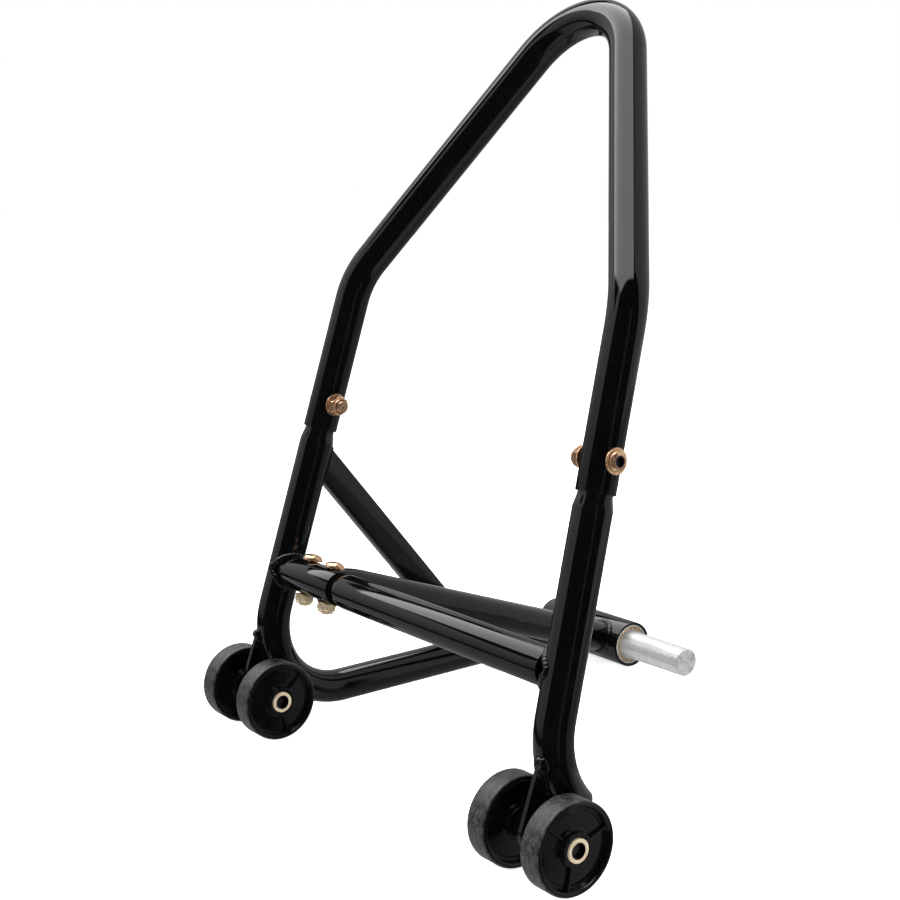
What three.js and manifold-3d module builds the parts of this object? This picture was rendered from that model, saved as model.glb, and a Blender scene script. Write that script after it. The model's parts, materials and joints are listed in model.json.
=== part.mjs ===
// Single-sided rear paddock stand for a motorcycle.
// Millimetres, +Z up. The stand rests on four wheels and on the bearing housing at the
// front of its long arm. +X points from the arm's side to the other side, the way the
// lift pin points, and +Y points from the wheels to the pin. Everything is laid out
// about the floor point below the middle of the wheel axles, and the whole stand is then
// moved along Y so that the origin is the bottom centre of its bounding box.
import * as THREE from 'three';
import { mergeVertices } from 'three/addons/utils/BufferGeometryUtils.js';
import Module from 'manifold-3d';

const wasm = await Module();
wasm.setup();

// ---------------------------------------------------------------- driving dimensions
const DEG = Math.PI / 180;
const GAP = 0.3; // clearance between pieces that touch

const TUBE_OD = 28.6;
const TUBE_WALL = 1.6;
const TUBE_R = TUBE_OD / 2;
const TUBE_BORE_R = TUBE_R - TUBE_WALL;
const NECK_R = TUBE_BORE_R - GAP; // swaged end that slides into the next tube
const SHOULDER_LENGTH = 12; // taper between the full tube and its swaged neck

const LEG_LEAN = 17.2 * DEG; // legs lean forward
const LEG_SPLAY = 3.4 * DEG; // legs close in towards the handle
const LEG_FOOT_X = 195.9; // leg centre line at floor level
const LEG_FOOT_Y = -14.2;
const CORNER_HEIGHT = 19.4; // where the leg line meets the arm line
const FOOT_BEND_RADIUS = 68;
const RIGHT_FOOT_TURN = 56 * DEG; // how far round the bend the short foot goes
const SLEEVE_HEIGHT = 256.4; // lower ends of the handle
const SLEEVE_OVERLAP = 44; // neck length inside the handle

const HANDLE_BOLT_HEIGHT = 278.6;
const HANDLE_KNEE_HEIGHT = 382.5;
const HANDLE_LEAN = 30.6 * DEG; // the handle leans further forward than the legs
const HANDLE_TAPER = 29.4 * DEG; // each side leans in by this much
const HANDLE_KNEE_RADIUS = 74;
const HANDLE_TOP_RADIUS = 65;

const CROSS_HEIGHT = 137.9; // cross tube centre line
const SOCKET_END_X = -98; // open end of the cross tube socket
const SHOULDER_STANDOFF = 2.2; // bare neck between the socket and the cross tube's shoulder
const SOCKET_OVERLAP = 72; // neck length inside the socket
const CROSS_BOLT_X = [-147.6, -112.6];

const HOUSING_R = 21.2;
const HOUSING_Y = 355.2; // lift pin axis, ahead of the wheel axles
const HOUSING_LEFT_X = -224.5;
const HOUSING_RIGHT_X = -109.5;
const HOUSING_BORE_R = 16.5;

const UPPER_ARM_REAR_X = -124; // where the upper arm leaves the socket
const UPPER_ARM_REAR_Z = 133.5;
const UPPER_ARM_STANDOFF = 6; // its end is ahead of the socket's axis by this much
const UPPER_ARM_FRONT_X = -135; // where it meets the housing
const UPPER_ARM_FRONT_Z = 28.6;
const UPPER_ARM_SLOPE = 20.2 * DEG;
const UPPER_ARM_BEND_RADIUS = 70;

const BRACE_DEPTH = 25.4;
const BRACE_WIDTH = 12.7;
const BRACE_WALL = 1.5;
const BRACE_CORNER = 2;
const BRACE_TOP_Z = 237; // brace centre line on the leg's centre line
const BRACE_FRONT_Y = 237; // and on the arm's centre line

const WHEEL_R = 33.3;
const WHEEL_WIDTH = 19.7;
const WHEEL_SPACING = 39.4; // between the two inner faces of a pair
const TRACK_HALF = 193.4; // middle of each pair
const WHEEL_RIM = 3.4;
const WHEEL_RECESS = 4.2;
const WHEEL_HUB_R = 12.2;
const WHEEL_HUB_PROUD = 1.2;
const RIB_COUNT = 3;
const RIB_WIDTH = 1.8;
const RIB_ANGLES = { left_wheel_a: 10, left_wheel_b: 42, right_wheel_a: 60, right_wheel_b: 17 };

const AXLE_R = 5; // sleeve the wheels turn on
const AXLE_BOLT_R = 3.5; // bolt screwed into the sleeve
const AXLE_HEAD_R = 8.6;
const AXLE_HEAD_PROUD = 2.2; // head face beyond the wheel's face
const COUNTERBORE_R = 9.3; // in both faces of every wheel hub
const COUNTERBORE_DEPTH = 3;
const SPACER_R = 9;
const BRACKET_THICKNESS = 4;
const BRACKET_EYE_R = 17.5;
const BRACKET_TOP_Z = 86.5;

const BEARING_R = 18.5;
const BEARING_WIDTH = 7;
const PIN_JOURNAL_R = 12.5;
const PIN_R = 12.8;
const PIN_TIP_X = -35;
const PIN_CHAMFER = 1.6;
const INNER_RACE_R = 14;
const OUTER_RACE_BORE_R = 17.1;
const BALL_R = 1.25;
const BALL_COUNT = 10;

const TUBE_SEGMENTS = 20;
const ROUND_SEGMENTS = 28;
const SMALL_SEGMENTS = 16;

// ---------------------------------------------------------------- finishes
function finish(color, roughness, metalness) {
  return new THREE.MeshStandardMaterial({ color, roughness, metalness });
}

const powderCoat = () => finish(0x0b0b0c, 0.18, 0.0);
const wheelPlastic = () => finish(0x151515, 0.45, 0.0);
const yellowZinc = () => finish(0xc9a25a, 0.3, 0.9);
const paleZinc = () => finish(0xd8cdb0, 0.32, 0.9);
const machinedSteel = () => finish(0xc4c6c8, 0.28, 1.0);
const bearingSteel = () => finish(0xb9bab6, 0.25, 1.0);
const blackPlastic = () => finish(0x0a0a0a, 0.5, 0.0);

// ---------------------------------------------------------------- solids
const X_AXIS = new THREE.Vector3(1, 0, 0);
const Y_AXIS = new THREE.Vector3(0, 1, 0);

// A closed geometry becomes a manifold solid.
function solidOf(geometry) {
  const bare = geometry.clone();
  bare.deleteAttribute('normal');
  bare.deleteAttribute('uv');
  const merged = mergeVertices(bare, 1e-4);
  const index = merged.index.array;
  const triangles = [];
  for (let i = 0; i < index.length; i += 3) {
    const [a, b, c] = [index[i], index[i + 1], index[i + 2]];
    if (a !== b && b !== c && c !== a) triangles.push(a, b, c);
  }
  const vertices = Float32Array.from(merged.attributes.position.array);
  const mesh = new wasm.Mesh({ numProp: 3, vertProperties: vertices, triVerts: Uint32Array.from(triangles) });
  return new wasm.Manifold(mesh);
}

function geometryOf(solid) {
  const mesh = solid.getMesh();
  const geometry = new THREE.BufferGeometry();
  geometry.setAttribute('position', new THREE.BufferAttribute(Float32Array.from(mesh.vertProperties), 3));
  geometry.setIndex(Array.from(mesh.triVerts));
  geometry.computeVertexNormals();
  return geometry;
}

// The base shape with the other shapes joined on, then the cutters taken away.
function shaped(base, joined, cutters) {
  let solid = solidOf(base);
  for (const piece of joined) solid = solid.add(solidOf(piece));
  for (const cutter of cutters) solid = solid.subtract(solidOf(cutter));
  return geometryOf(solid);
}

// A turned shape about +X. The profile lists [x, radius] corners and closes on itself.
// The facets are turned so that one of them is level at the bottom.
function turned(profile, segments = ROUND_SEGMENTS) {
  const points = profile.map(([x, radius]) => new THREE.Vector2(radius, x));
  points.push(points[0].clone());
  const geometry = new THREE.LatheGeometry(points, segments, Math.PI / segments);
  geometry.rotateZ(-Math.PI / 2);
  return signedVolume(geometry) < 0 ? flipped(geometry) : geometry;
}

function signedVolume(geometry) {
  const position = geometry.attributes.position;
  const index = geometry.index;
  const [a, b, c] = [new THREE.Vector3(), new THREE.Vector3(), new THREE.Vector3()];
  let volume = 0;
  for (let i = 0; i < index.count; i += 3) {
    a.fromBufferAttribute(position, index.getX(i));
    b.fromBufferAttribute(position, index.getX(i + 1));
    c.fromBufferAttribute(position, index.getX(i + 2));
    volume += a.dot(b.cross(c)) / 6;
  }
  return volume;
}

function flipped(geometry) {
  const index = Array.from(geometry.index.array);
  for (let i = 0; i < index.length; i += 3) {
    [index[i + 1], index[i + 2]] = [index[i + 2], index[i + 1]];
  }
  geometry.setIndex(index);
  return geometry;
}

const ring = (x0, x1, innerR, outerR, segments) => turned(
  [[x0, innerR], [x1, innerR], [x1, outerR], [x0, outerR]],
  segments,
);
const rod = (x0, x1, radius, segments) => turned([[x0, 0], [x1, 0], [x1, radius], [x0, radius]], segments);

// A rod between two points, used as a cutter.
function rodBetween(from, to, radius, segments = TUBE_SEGMENTS) {
  const span = new THREE.Vector3().subVectors(to, from);
  const geometry = rod(0, span.length(), radius, segments);
  geometry.applyQuaternion(new THREE.Quaternion().setFromUnitVectors(X_AXIS, span.normalize()));
  return geometry.translate(from.x, from.y, from.z);
}

// ---------------------------------------------------------------- bent tubes
// A route of straight runs joined by arcs. Each corner has a radius, and the arcs are
// stepped evenly. The stations along the route are the tube's rings.
class BentRoute extends THREE.Curve {
  constructor(start, corners, end, extraStations = []) {
    super();
    this.stations = [];
    const first = corners.length ? corners[0].at : end;
    const startDirection = new THREE.Vector3().subVectors(first, start).normalize();
    this.addStation(start, startDirection);
    for (const distance of extraStations) {
      this.addStation(start.clone().addScaledVector(startDirection, distance), startDirection);
    }
    let previous = start;
    corners.forEach((corner, i) => {
      const next = i + 1 < corners.length ? corners[i + 1].at : end;
      this.addArc(previous, corner, next);
      previous = corner.at;
    });
    if (!corners.length || !corners[corners.length - 1].last) {
      this.addStation(end, new THREE.Vector3().subVectors(end, previous).normalize());
    }
  }

  addStation(point, tangent) {
    this.stations.push({ point: point.clone(), tangent: tangent.clone() });
  }

  addArc(previous, corner, next) {
    const into = new THREE.Vector3().subVectors(corner.at, previous).normalize();
    const away = new THREE.Vector3().subVectors(next, corner.at).normalize();
    const turn = into.angleTo(away);
    const inward = away.clone().addScaledVector(into, -away.dot(into)).normalize();
    const begin = corner.at.clone().addScaledVector(into, -corner.radius * Math.tan(turn / 2));
    const centre = begin.clone().addScaledVector(inward, corner.radius);
    const sweep = corner.sweep ?? turn;
    const steps = Math.max(2, Math.round(sweep / (13 * DEG)));
    for (let i = 0; i <= steps; i += 1) {
      const angle = (sweep * i) / steps;
      const point = centre.clone()
        .addScaledVector(inward, -corner.radius * Math.cos(angle))
        .addScaledVector(into, corner.radius * Math.sin(angle));
      const tangent = into.clone().multiplyScalar(Math.cos(angle)).addScaledVector(inward, Math.sin(angle));
      this.addStation(point, tangent);
    }
  }

  stationAt(u) {
    return this.stations[Math.round(u * (this.stations.length - 1))];
  }

  getPointAt(u) {
    return this.stationAt(u).point.clone();
  }

  getTangentAt(u) {
    return this.stationAt(u).tangent.clone();
  }
}

function tubeAlong(route, outerR, innerR = 0) {
  const section = new THREE.Shape();
  section.absarc(0, 0, outerR, 0, Math.PI * 2);
  if (innerR > 0) {
    const hole = new THREE.Path();
    hole.absarc(0, 0, innerR, 0, Math.PI * 2);
    section.holes.push(hole);
  }
  return new THREE.ExtrudeGeometry(section, {
    steps: route.stations.length - 1,
    curveSegments: TUBE_SEGMENTS / 2,
    extrudePath: route,
  });
}

// Draws a tube's end down to its neck: every ring past the shoulder shrinks about the axis.
function swage(geometry, origin, direction) {
  const position = geometry.attributes.position;
  const point = new THREE.Vector3();
  for (let i = 0; i < position.count; i += 1) {
    point.fromBufferAttribute(position, i).sub(origin);
    const along = point.dot(direction);
    const progress = THREE.MathUtils.smoothstep(along, -SHOULDER_LENGTH, 0);
    if (progress > 0) {
      point.addScaledVector(direction, -along);
      const radius = point.length();
      point.multiplyScalar((radius - progress * (TUBE_R - NECK_R)) / radius);
      point.addScaledVector(direction, along).add(origin);
      position.setXYZ(i, point.x, point.y, point.z);
    }
  }
  return geometry;
}

// ---------------------------------------------------------------- layout
const LEFT = -1;
const RIGHT = 1;
const legSlopeX = Math.tan(LEG_SPLAY) / Math.cos(LEG_LEAN);
const legPoint = (side, z) => new THREE.Vector3(
  side * (LEG_FOOT_X - z * legSlopeX),
  LEG_FOOT_Y + z * Math.tan(LEG_LEAN),
  z,
);
const legUp = (side) => legPoint(side, 1).sub(legPoint(side, 0)).normalize();
const housingAxis = (x) => new THREE.Vector3(x, HOUSING_Y, HOUSING_R);
const crossAxis = (x) => new THREE.Vector3(x, legPoint(LEFT, CROSS_HEIGHT).y, CROSS_HEIGHT);
const armEnd = new THREE.Vector3(-LEG_FOOT_X, HOUSING_Y, HOUSING_R);

// Cutters that cope one tube's end round the tube it is welded to.
const COPE_R = TUBE_R + GAP;
const housingCutter = () => rodBetween(
  housingAxis(HOUSING_LEFT_X - 20),
  housingAxis(HOUSING_RIGHT_X + 20),
  HOUSING_R + 0.2 + GAP,
  ROUND_SEGMENTS,
);

function footRoute(side, rightTurn = RIGHT_FOOT_TURN) {
  const top = legPoint(side, SLEEVE_HEIGHT).addScaledVector(legUp(side), SLEEVE_OVERLAP);
  const corner = { at: legPoint(side, CORNER_HEIGHT), radius: FOOT_BEND_RADIUS };
  const neckRings = [0, 0.25, 0.5, 0.75, 1].map((t) => SLEEVE_OVERLAP + t * SHOULDER_LENGTH);
  if (side === LEFT) return new BentRoute(top, [corner], armEnd, neckRings);
  const beyond = corner.at.clone().addScaledVector(Y_AXIS, 200);
  return new BentRoute(top, [{ ...corner, sweep: rightTurn, last: true }], beyond, neckRings);
}

// A cutter as thick as the leg with its cope clearance, without the neck. On the right it
// runs on past the foot's end, so that it also clears the cap.
const legCutter = (side) => tubeAlong(footRoute(side, RIGHT_FOOT_TURN + 12 * DEG), COPE_R);

const boltHole = (centre, direction, radius) => rodBetween(
  centre.clone().addScaledVector(direction, -40),
  centre.clone().addScaledVector(direction, 40),
  radius,
  SMALL_SEGMENTS,
);

// ---------------------------------------------------------------- the stand
const stand = new THREE.Group();

function add(name, geometry, material, parent = stand) {
  const mesh = new THREE.Mesh(geometryOf(solidOf(geometry)), material);
  mesh.name = name;
  parent.add(mesh);
  return mesh;
}

// A group whose own +X runs along the direction, for pieces that share one axis.
function axisGroup(origin, direction) {
  const group = new THREE.Group();
  group.position.copy(origin);
  group.quaternion.setFromUnitVectors(X_AXIS, direction);
  stand.add(group);
  return group;
}

// Handle bolts run across each leg, square to its tube, with the head on the +X side.
const acrossLeg = (side) => X_AXIS.clone()
  .addScaledVector(legUp(side), -X_AXIS.dot(legUp(side)))
  .normalize();
const handleBoltCentre = (side) => legPoint(side, HANDLE_BOLT_HEIGHT);
const HANDLE_BOLT_R = 5;
const HANDLE_HOLE_R = HANDLE_BOLT_R + 0.4;

// Cross tube bolts run down through the socket, in the plane of the legs.
const crossBoltUp = new THREE.Vector3(0, Math.sin(LEG_LEAN), Math.cos(LEG_LEAN));
const CROSS_BOLT_R = 4;
const CROSS_HOLE_R = CROSS_BOLT_R + 0.4;

// ---- frame
function frameTube(side) {
  const neckBase = legPoint(side, SLEEVE_HEIGHT);
  const tube = swage(tubeAlong(footRoute(side), TUBE_R, TUBE_BORE_R), neckBase, legUp(side));
  const cutters = [boltHole(handleBoltCentre(side), acrossLeg(side), HANDLE_HOLE_R)];
  if (side === LEFT) cutters.push(housingCutter());
  return shaped(tube, [], cutters);
}
add('left_frame_tube', frameTube(LEFT), powderCoat());
add('right_frame_tube', frameTube(RIGHT), powderCoat());

const FOOT_CAP_LIP = 1.6;
const FOOT_CAP_PLUG = 5;
const footEnd = footRoute(RIGHT).stationAt(1);
const footCap = axisGroup(footEnd.point, footEnd.tangent);
add('right_foot_cap', turned([
  [-FOOT_CAP_PLUG, 0], [FOOT_CAP_LIP + GAP, 0], [FOOT_CAP_LIP + GAP, TUBE_R - 1.8],
  [FOOT_CAP_LIP, TUBE_R - 0.5], [GAP, TUBE_R - 0.5], [GAP, NECK_R], [-FOOT_CAP_PLUG, NECK_R - 0.9],
], TUBE_SEGMENTS), blackPlastic(), footCap);

const crossHoles = CROSS_BOLT_X.map((x) => boltHole(crossAxis(x), crossBoltUp, CROSS_HOLE_R));
const leftLegAtCross = legPoint(LEFT, CROSS_HEIGHT);
const socketTube = ring(leftLegAtCross.x, SOCKET_END_X, TUBE_BORE_R, TUBE_R, TUBE_SEGMENTS);
socketTube.translate(0, leftLegAtCross.y, CROSS_HEIGHT);
add('cross_tube_socket', shaped(socketTube, [], [legCutter(LEFT), ...crossHoles]), powderCoat());

const rightLegAtCross = legPoint(RIGHT, CROSS_HEIGHT);
const shoulderX = SOCKET_END_X + SHOULDER_STANDOFF;
const neckStartX = SOCKET_END_X - SOCKET_OVERLAP;
const shoulderStep = (t) => [
  shoulderX + t * SHOULDER_LENGTH,
  NECK_R + (TUBE_R - NECK_R) * THREE.MathUtils.smoothstep(t, 0, 1),
];
const shoulder = [0, 0.25, 0.5, 0.75, 1].map(shoulderStep);
const crossProfile = [
  [neckStartX, NECK_R],
  ...shoulder,
  [rightLegAtCross.x, TUBE_R],
  [rightLegAtCross.x, TUBE_BORE_R],
  ...shoulder.map(([x, radius]) => [x, radius - TUBE_WALL]).reverse(),
  [neckStartX, NECK_R - TUBE_WALL],
];
const crossTube = turned(crossProfile, TUBE_SEGMENTS).translate(0, rightLegAtCross.y, CROSS_HEIGHT);
add('cross_tube', shaped(crossTube, [], [legCutter(RIGHT), ...crossHoles]), powderCoat());

// The upper arm leaves the socket level, bends down and runs straight to the housing.
const upperArmRear = crossAxis(UPPER_ARM_REAR_X).setZ(UPPER_ARM_REAR_Z);
upperArmRear.y += UPPER_ARM_STANDOFF;
const upperArmFrontZ = UPPER_ARM_FRONT_Z - HOUSING_R * Math.tan(UPPER_ARM_SLOPE);
const upperArmFront = new THREE.Vector3(UPPER_ARM_FRONT_X, HOUSING_Y, upperArmFrontZ);
const upperArmCorner = upperArmRear.clone();
upperArmCorner.y = HOUSING_Y - (UPPER_ARM_REAR_Z - upperArmFrontZ) / Math.tan(UPPER_ARM_SLOPE);
const upperArmRoute = new BentRoute(
  upperArmRear,
  [{ at: upperArmCorner, radius: UPPER_ARM_BEND_RADIUS }],
  upperArmFront,
);
const socketCutter = rodBetween(crossAxis(leftLegAtCross.x), crossAxis(SOCKET_END_X + 30), COPE_R);
add('upper_arm_tube', shaped(
  tubeAlong(upperArmRoute, TUBE_R, TUBE_BORE_R),
  [],
  [socketCutter, housingCutter()],
), powderCoat());

// The brace is a rectangular tube in the plane of the left leg and the arm.
function roundedRectangle(width, depth, corner) {
  const [w, d] = [width / 2, depth / 2];
  const outline = new THREE.Shape();
  outline.absarc(w - corner, d - corner, corner, 0, Math.PI / 2);
  outline.absarc(-w + corner, d - corner, corner, Math.PI / 2, Math.PI);
  outline.absarc(-w + corner, -d + corner, corner, Math.PI, Math.PI * 1.5);
  outline.absarc(w - corner, -d + corner, corner, Math.PI * 1.5, Math.PI * 2);
  outline.closePath();
  return outline;
}
const braceTop = legPoint(LEFT, BRACE_TOP_Z);
const armPointAt = (y) => {
  const start = legPoint(LEFT, CORNER_HEIGHT);
  return start.clone().lerp(armEnd, (y - start.y) / (armEnd.y - start.y));
};
const braceFoot = armPointAt(BRACE_FRONT_Y);
const braceRun = new THREE.Vector3().subVectors(braceFoot, braceTop);
const braceSection = roundedRectangle(BRACE_WIDTH, BRACE_DEPTH, BRACE_CORNER);
braceSection.holes.push(roundedRectangle(
  BRACE_WIDTH - 2 * BRACE_WALL,
  BRACE_DEPTH - 2 * BRACE_WALL,
  BRACE_CORNER - 1,
));
const braceBar = new THREE.ExtrudeGeometry(braceSection, {
  depth: braceRun.length(),
  bevelEnabled: false,
  curveSegments: 2,
});
const braceDirection = braceRun.clone().normalize();
const braceSide = X_AXIS.clone().addScaledVector(braceDirection, -X_AXIS.dot(braceDirection)).normalize();
const braceDepthAxis = new THREE.Vector3().crossVectors(braceDirection, braceSide);
braceBar.applyMatrix4(new THREE.Matrix4()
  .makeBasis(braceSide, braceDepthAxis, braceDirection)
  .setPosition(braceTop));
add('diagonal_brace', shaped(braceBar, [], [legCutter(LEFT)]), powderCoat());

// ---- bearing housing, bearings and lift pin, all about one axis along X
const pinLine = axisGroup(new THREE.Vector3(0, HOUSING_Y, HOUSING_R), X_AXIS);
const flatR = (radius, segments = ROUND_SEGMENTS) => radius / Math.cos(Math.PI / segments);
const SEAT_R = BEARING_R + GAP;
const RIGHT_BEARING_RECESS = 1;
const LEFT_BEARING_RECESS = 6.5;
const rightBearingX = HOUSING_RIGHT_X - RIGHT_BEARING_RECESS - BEARING_WIDTH;
const leftBearingX = HOUSING_LEFT_X + LEFT_BEARING_RECESS;
const rightSeatX = rightBearingX - GAP;
const leftSeatX = leftBearingX + BEARING_WIDTH + GAP;
const housingOuterR = flatR(HOUSING_R);
add('pin_housing', turned([
  [HOUSING_LEFT_X, SEAT_R], [leftSeatX, SEAT_R], [leftSeatX, HOUSING_BORE_R],
  [rightSeatX, HOUSING_BORE_R], [rightSeatX, SEAT_R], [HOUSING_RIGHT_X, SEAT_R],
  [HOUSING_RIGHT_X, housingOuterR - 0.6], [HOUSING_RIGHT_X - 0.6, housingOuterR],
  [HOUSING_LEFT_X + 0.6, housingOuterR], [HOUSING_LEFT_X, housingOuterR - 0.6],
]), powderCoat(), pinLine);

function ballCage(centreX, pitchR) {
  const cageRing = ring(centreX - 0.7, centreX + 0.7, pitchR - 0.5, pitchR + 0.5, BALL_COUNT * 2);
  const balls = [];
  for (let i = 0; i < BALL_COUNT; i += 1) {
    const angle = (i / BALL_COUNT) * Math.PI * 2;
    const ball = new THREE.SphereGeometry(BALL_R, 6, 3);
    ball.rotateX(angle);
    ball.translate(centreX, pitchR * Math.sin(angle), pitchR * Math.cos(angle));
    balls.push(ball);
  }
  return shaped(cageRing, balls, []);
}

function bearing(name, x0, shieldX) {
  const x1 = x0 + BEARING_WIDTH;
  const pitchR = (INNER_RACE_R + OUTER_RACE_BORE_R) / 2;
  add(`bearing_${name}_outer_race`, ring(x0, x1, OUTER_RACE_BORE_R, BEARING_R), bearingSteel(), pinLine);
  add(`bearing_${name}_inner_race`, ring(x0, x1, PIN_JOURNAL_R + GAP, INNER_RACE_R), bearingSteel(), pinLine);
  add(`bearing_${name}_ball_cage`, ballCage((x0 + x1) / 2, pitchR), bearingSteel(), pinLine);
  add(
    `bearing_${name}_shield`,
    ring(shieldX - 0.3, shieldX + 0.3, INNER_RACE_R + GAP, OUTER_RACE_BORE_R - GAP),
    yellowZinc(),
    pinLine,
  );
}
const SHIELD_INSET = 0.8;
bearing('right', rightBearingX, rightBearingX + BEARING_WIDTH - SHIELD_INSET);
bearing('left', leftBearingX, leftBearingX + SHIELD_INSET);
add('bearing_spacer', ring(
  leftBearingX + BEARING_WIDTH + GAP,
  rightBearingX - GAP,
  PIN_JOURNAL_R + GAP,
  INNER_RACE_R,
), machinedSteel(), pinLine);

const PIN_WASHER_THICKNESS = 1.2;
const CLIP_THICKNESS = 1.2;
const CLIP_DEPTH = 1;
const washerX = leftBearingX - GAP - PIN_WASHER_THICKNESS;
const clipX = washerX - GAP - CLIP_THICKNESS;
const grooveR = PIN_JOURNAL_R - CLIP_DEPTH;
const pinShoulderX = rightBearingX + BEARING_WIDTH + GAP;
const pinEndX = clipX - 2.2;
add('lift_pin', turned([
  [pinEndX, 0], [PIN_TIP_X, 0], [PIN_TIP_X, PIN_R - PIN_CHAMFER], [PIN_TIP_X - PIN_CHAMFER, PIN_R],
  [pinShoulderX, PIN_R], [pinShoulderX, PIN_JOURNAL_R],
  [clipX + CLIP_THICKNESS + 0.2, PIN_JOURNAL_R], [clipX + CLIP_THICKNESS + 0.2, grooveR],
  [clipX - 0.2, grooveR], [clipX - 0.2, PIN_JOURNAL_R],
  [pinEndX + 0.8, PIN_JOURNAL_R], [pinEndX, PIN_JOURNAL_R - 0.8],
]), machinedSteel(), pinLine);
add('pin_thrust_washer', ring(
  washerX,
  washerX + PIN_WASHER_THICKNESS,
  PIN_JOURNAL_R + GAP,
  INNER_RACE_R + 0.5,
), machinedSteel(), pinLine);
const clipGapCutter = new THREE.BoxGeometry(8, 7, 20).translate(clipX, 0, -PIN_JOURNAL_R - 6);
add('pin_retaining_ring', shaped(
  ring(clipX, clipX + CLIP_THICKNESS, grooveR + GAP, PIN_JOURNAL_R + 2),
  [],
  [clipGapCutter],
), bearingSteel(), pinLine);

// ---- handle
function handleTube() {
  const knee = (side) => ({ at: legPoint(side, HANDLE_KNEE_HEIGHT), radius: HANDLE_KNEE_RADIUS });
  const slant = knee(LEFT).at.x / -Math.sin(HANDLE_TAPER);
  const apex = new THREE.Vector3(
    0,
    knee(LEFT).at.y + slant * Math.cos(HANDLE_TAPER) * Math.sin(HANDLE_LEAN),
    HANDLE_KNEE_HEIGHT + slant * Math.cos(HANDLE_TAPER) * Math.cos(HANDLE_LEAN),
  );
  const route = new BentRoute(
    legPoint(LEFT, SLEEVE_HEIGHT),
    [knee(LEFT), { at: apex, radius: HANDLE_TOP_RADIUS }, knee(RIGHT)],
    legPoint(RIGHT, SLEEVE_HEIGHT),
  );
  const holes = [LEFT, RIGHT].map((side) => boltHole(handleBoltCentre(side), acrossLeg(side), HANDLE_HOLE_R));
  return shaped(tubeAlong(route, TUBE_R, TUBE_BORE_R), [], holes);
}
add('handle_tube', handleTube(), powderCoat());

// ---- fasteners, all built along their own +X, with the head at the high end
function domeHeadBolt(seatX, tailX, shankR, headR, headHeight) {
  return turned([
    [tailX, 0], [seatX + headHeight, 0], [seatX + headHeight * 0.86, headR * 0.55],
    [seatX + headHeight * 0.5, headR * 0.88], [seatX + headHeight * 0.15, headR], [seatX, headR],
    [seatX, shankR], [tailX + 1, shankR], [tailX, shankR - 0.8],
  ], SMALL_SEGMENTS);
}

const hexagon = (acrossFlats) => {
  const outline = new THREE.Shape();
  const corner = acrossFlats / 2 / Math.cos(Math.PI / 6);
  for (let i = 0; i < 6; i += 1) {
    const angle = (i * Math.PI) / 3;
    if (i === 0) outline.moveTo(corner, 0);
    else outline.lineTo(corner * Math.cos(angle), corner * Math.sin(angle));
  }
  outline.closePath();
  return outline;
};

// A lock nut with its round collar towards -X, away from the joint.
function lockNut(seatX, boreR, acrossFlats, hexHeight, collarHeight) {
  const hex = new THREE.ExtrudeGeometry(hexagon(acrossFlats), { depth: hexHeight, bevelEnabled: false });
  hex.rotateY(-Math.PI / 2).translate(seatX, 0, 0);
  const collar = turned([
    [seatX - hexHeight - collarHeight, 0],
    [seatX - 1, 0],
    [seatX - 1, acrossFlats * 0.44],
    [seatX - hexHeight - collarHeight + 1, acrossFlats * 0.44],
    [seatX - hexHeight - collarHeight, acrossFlats * 0.38],
  ], SMALL_SEGMENTS);
  return shaped(hex, [collar], [rod(seatX - 30, seatX + 5, boreR, SMALL_SEGMENTS)]);
}

const HANDLE_WASHER = { radius: 9.5, thickness: 1.2 };
const HANDLE_HEAD_R = 7.4;
const HANDLE_HEAD_HEIGHT = 3.6;
const HANDLE_NUT = { flats: 15, hex: 6.5, collar: 2.2 };
const HANDLE_BOLT_TAIL = 1.6; // thread beyond the nut
for (const [side, name] of [[LEFT, 'left'], [RIGHT, 'right']]) {
  // Heads face outwards and nuts inwards. Only the right head has a washer.
  const group = axisGroup(handleBoltCentre(side), acrossLeg(side).multiplyScalar(side));
  const washerSeat = TUBE_R + GAP;
  const nutSeat = washerSeat + HANDLE_WASHER.thickness + GAP;
  const boltSeat = side === RIGHT ? nutSeat : washerSeat;
  const tail = -nutSeat - HANDLE_NUT.hex - HANDLE_NUT.collar - HANDLE_BOLT_TAIL;
  const bore = HANDLE_BOLT_R + 0.4;
  const washer = (x) => ring(x, x + HANDLE_WASHER.thickness, bore, HANDLE_WASHER.radius, SMALL_SEGMENTS);
  const bolt = domeHeadBolt(boltSeat, tail, HANDLE_BOLT_R, HANDLE_HEAD_R, HANDLE_HEAD_HEIGHT);
  add(`handle_bolt_${name}`, bolt, yellowZinc(), group);
  if (side === RIGHT) add('handle_bolt_washer_right', washer(washerSeat), yellowZinc(), group);
  add(`handle_nut_washer_${name}`, washer(-washerSeat - HANDLE_WASHER.thickness), yellowZinc(), group);
  add(
    `handle_nut_${name}`,
    lockNut(-nutSeat, bore, HANDLE_NUT.flats, HANDLE_NUT.hex, HANDLE_NUT.collar),
    yellowZinc(),
    group,
  );
}

const CROSS_HEAD_R = 8.5;
const CROSS_HEAD_HEIGHT = 5.6;
const CROSS_NUT = { flats: 15, hex: 6, collar: 2.2 };
const CROSS_BOLT_TAIL = 1.2;
CROSS_BOLT_X.forEach((x, i) => {
  const name = i + 1;
  const group = axisGroup(crossAxis(x), crossBoltUp);
  const seat = TUBE_R + GAP;
  const tail = -seat - CROSS_NUT.hex - CROSS_NUT.collar - CROSS_BOLT_TAIL;
  const bolt = domeHeadBolt(seat, tail, CROSS_BOLT_R, CROSS_HEAD_R, CROSS_HEAD_HEIGHT);
  add(`cross_bolt_${name}`, bolt, yellowZinc(), group);
  add(
    `cross_nut_${name}`,
    lockNut(-seat, CROSS_HOLE_R, CROSS_NUT.flats, CROSS_NUT.hex, CROSS_NUT.collar),
    paleZinc(),
    group,
  );
});

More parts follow.
